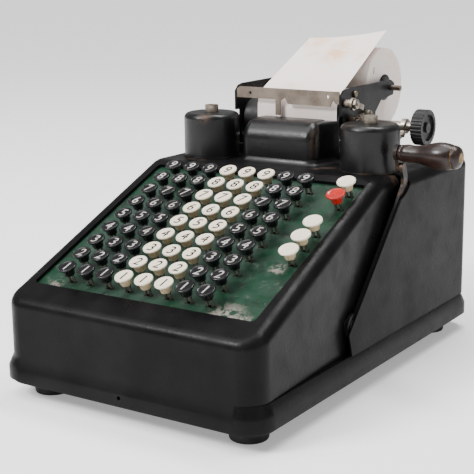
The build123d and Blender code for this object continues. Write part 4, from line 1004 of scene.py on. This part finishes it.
strip_low, strip_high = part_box("paper_strip")
strip_middle = (strip_low.x + strip_high.x) / 2
bar_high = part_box("tear_bar")[1]
STRIP_STAINS = (
    ((strip_middle + 4 * MM, strip_high.y - 30 * MM, strip_high.z - 18 * MM), 34 * MM, (1.6, 0.8, 0.8)),
    ((strip_low.x + 12 * MM, strip_high.y - 6 * MM, strip_high.z - 8 * MM), 22 * MM, (1, 1, 1)),
    ((strip_middle - 14 * MM, bar_high.y + 6 * MM, bar_high.z + 6 * MM), 18 * MM, (0.6, 1, 1)),
)
strip_paper = paper("strip_paper", stains=STRIP_STAINS)
strip = from_casting("paper_strip", strip_paper, smooth_to=60)

# The free end of the strip sags to the left and bows a little, so it is cut finely first.
LEFT_SAG = 9.0 * MM
MIDDLE_SAG = 2.0 * MM
CUTS_ACROSS = 12
CUTS_ALONG = 14
for cut in range(1, CUTS_ACROSS):
    edit_all(strip)
    across_at = strip_low.x + (strip_high.x - strip_low.x) * cut / CUTS_ACROSS
    bpy.ops.mesh.bisect(plane_co=(across_at, 0, 0), plane_no=(1, 0, 0))
    close_edit()
for cut in range(1, CUTS_ALONG):
    edit_all(strip)
    along_at = bar_high.y + (strip_high.y - bar_high.y) * cut / CUTS_ALONG
    bpy.ops.mesh.bisect(plane_co=(0, along_at, 0), plane_no=(0, 1, 0))
    close_edit()
for vertex in strip.data.vertices:
    risen = (vertex.co.z - bar_high.z) / (strip_high.z - bar_high.z)
    if risen > 0 and vertex.co.y > bar_high.y:
        leftward = (strip_high.x - vertex.co.x) / (strip_high.x - strip_low.x)
        bowed = sin(pi * leftward)
        vertex.co.z -= LEFT_SAG * leftward * risen + MIDDLE_SAG * bowed * risen * risen
softened(strip, 60)
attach(strip, "root")

# ---- floor, lights and camera -------------------------------------------------------------
# A plain pale floor that glows faintly, and soft studio lights: a key from the front left, a
# faint fill from the right, a strip above and behind, and a broad sun.
FLOOR_SIZE = 60.0
FLOOR_GLOW = 0.35
bpy.ops.mesh.primitive_plane_add(size=FLOOR_SIZE, location=(0, 0, 0))
floor = bpy.context.object
floor.name = "floor"
floor_paint, tree, shader = new_material("floor_paint", Roughness=0.9, Specular_IOR_Level=0.05)
floor_white = blended(tree, grain(tree, 0.4, 3.0), (0.86, 0.86, 0.86, 1), (0.9, 0.9, 0.9, 1))
tree.links.new(floor_white, shader.inputs["Base Color"])
shader.inputs["Emission Color"].default_value = (1.0, 1.0, 1.0, 1)
shader.inputs["Emission Strength"].default_value = FLOOR_GLOW
put_on(floor, floor_paint)

world = bpy.data.worlds.new("studio")
bpy.context.scene.world = world
world.use_nodes = True
world.node_tree.nodes["Background"].inputs["Color"].default_value = (1.0, 1.0, 1.0, 1)
world.node_tree.nodes["Background"].inputs["Strength"].default_value = 0.34

AIM = Vector((0, 0, 0.13))


def soft_box(name, where, width, height, power):
    """A rectangular studio light that points at the machine."""
    bpy.ops.object.light_add(type="AREA", location=where)
    light = bpy.context.object
    light.name = name
    light.data.shape = "RECTANGLE"
    light.data.size = width
    light.data.size_y = height
    light.data.energy = power
    light.rotation_euler = (AIM - Vector(where)).to_track_quat("-Z", "Y").to_euler()
    return light


soft_box("key_light", (-0.9, -1.5, 1.5), 0.7, 0.6, 52)
soft_box("fill_light", (1.9, -0.4, 0.9), 0.9, 1.2, 3)
soft_box("top_light", (0.2, 0.5, 1.9), 1.6, 0.3, 34)
bpy.ops.object.light_add(type="SUN", location=(0, 0, 3), rotation=(radians(18), radians(-14), 0))
sun = bpy.context.object
sun.data.energy = 2.7
sun.data.angle = radians(50)

CAMERA_PLACE = Vector((0.5229, -0.8621, 0.3444))
AZIMUTH = radians(33.53)
ELEVATION = radians(13.16)
ROLL = radians(-0.67)
LENS = 91.53
right = Vector((cos(AZIMUTH), sin(AZIMUTH), 0))
back = Vector((sin(AZIMUTH) * cos(ELEVATION), -cos(AZIMUTH) * cos(ELEVATION), sin(ELEVATION)))
up = right.cross(-back)
across = right * cos(ROLL) + up * sin(ROLL)
upward = up * cos(ROLL) - right * sin(ROLL)
bpy.ops.object.camera_add(location=CAMERA_PLACE)
camera = bpy.context.object
camera.data.lens = LENS
camera.data.sensor_width = 36.0
turn = Matrix((across, upward, back)).transposed()
camera.rotation_euler = turn.to_euler()
bpy.context.scene.camera = camera
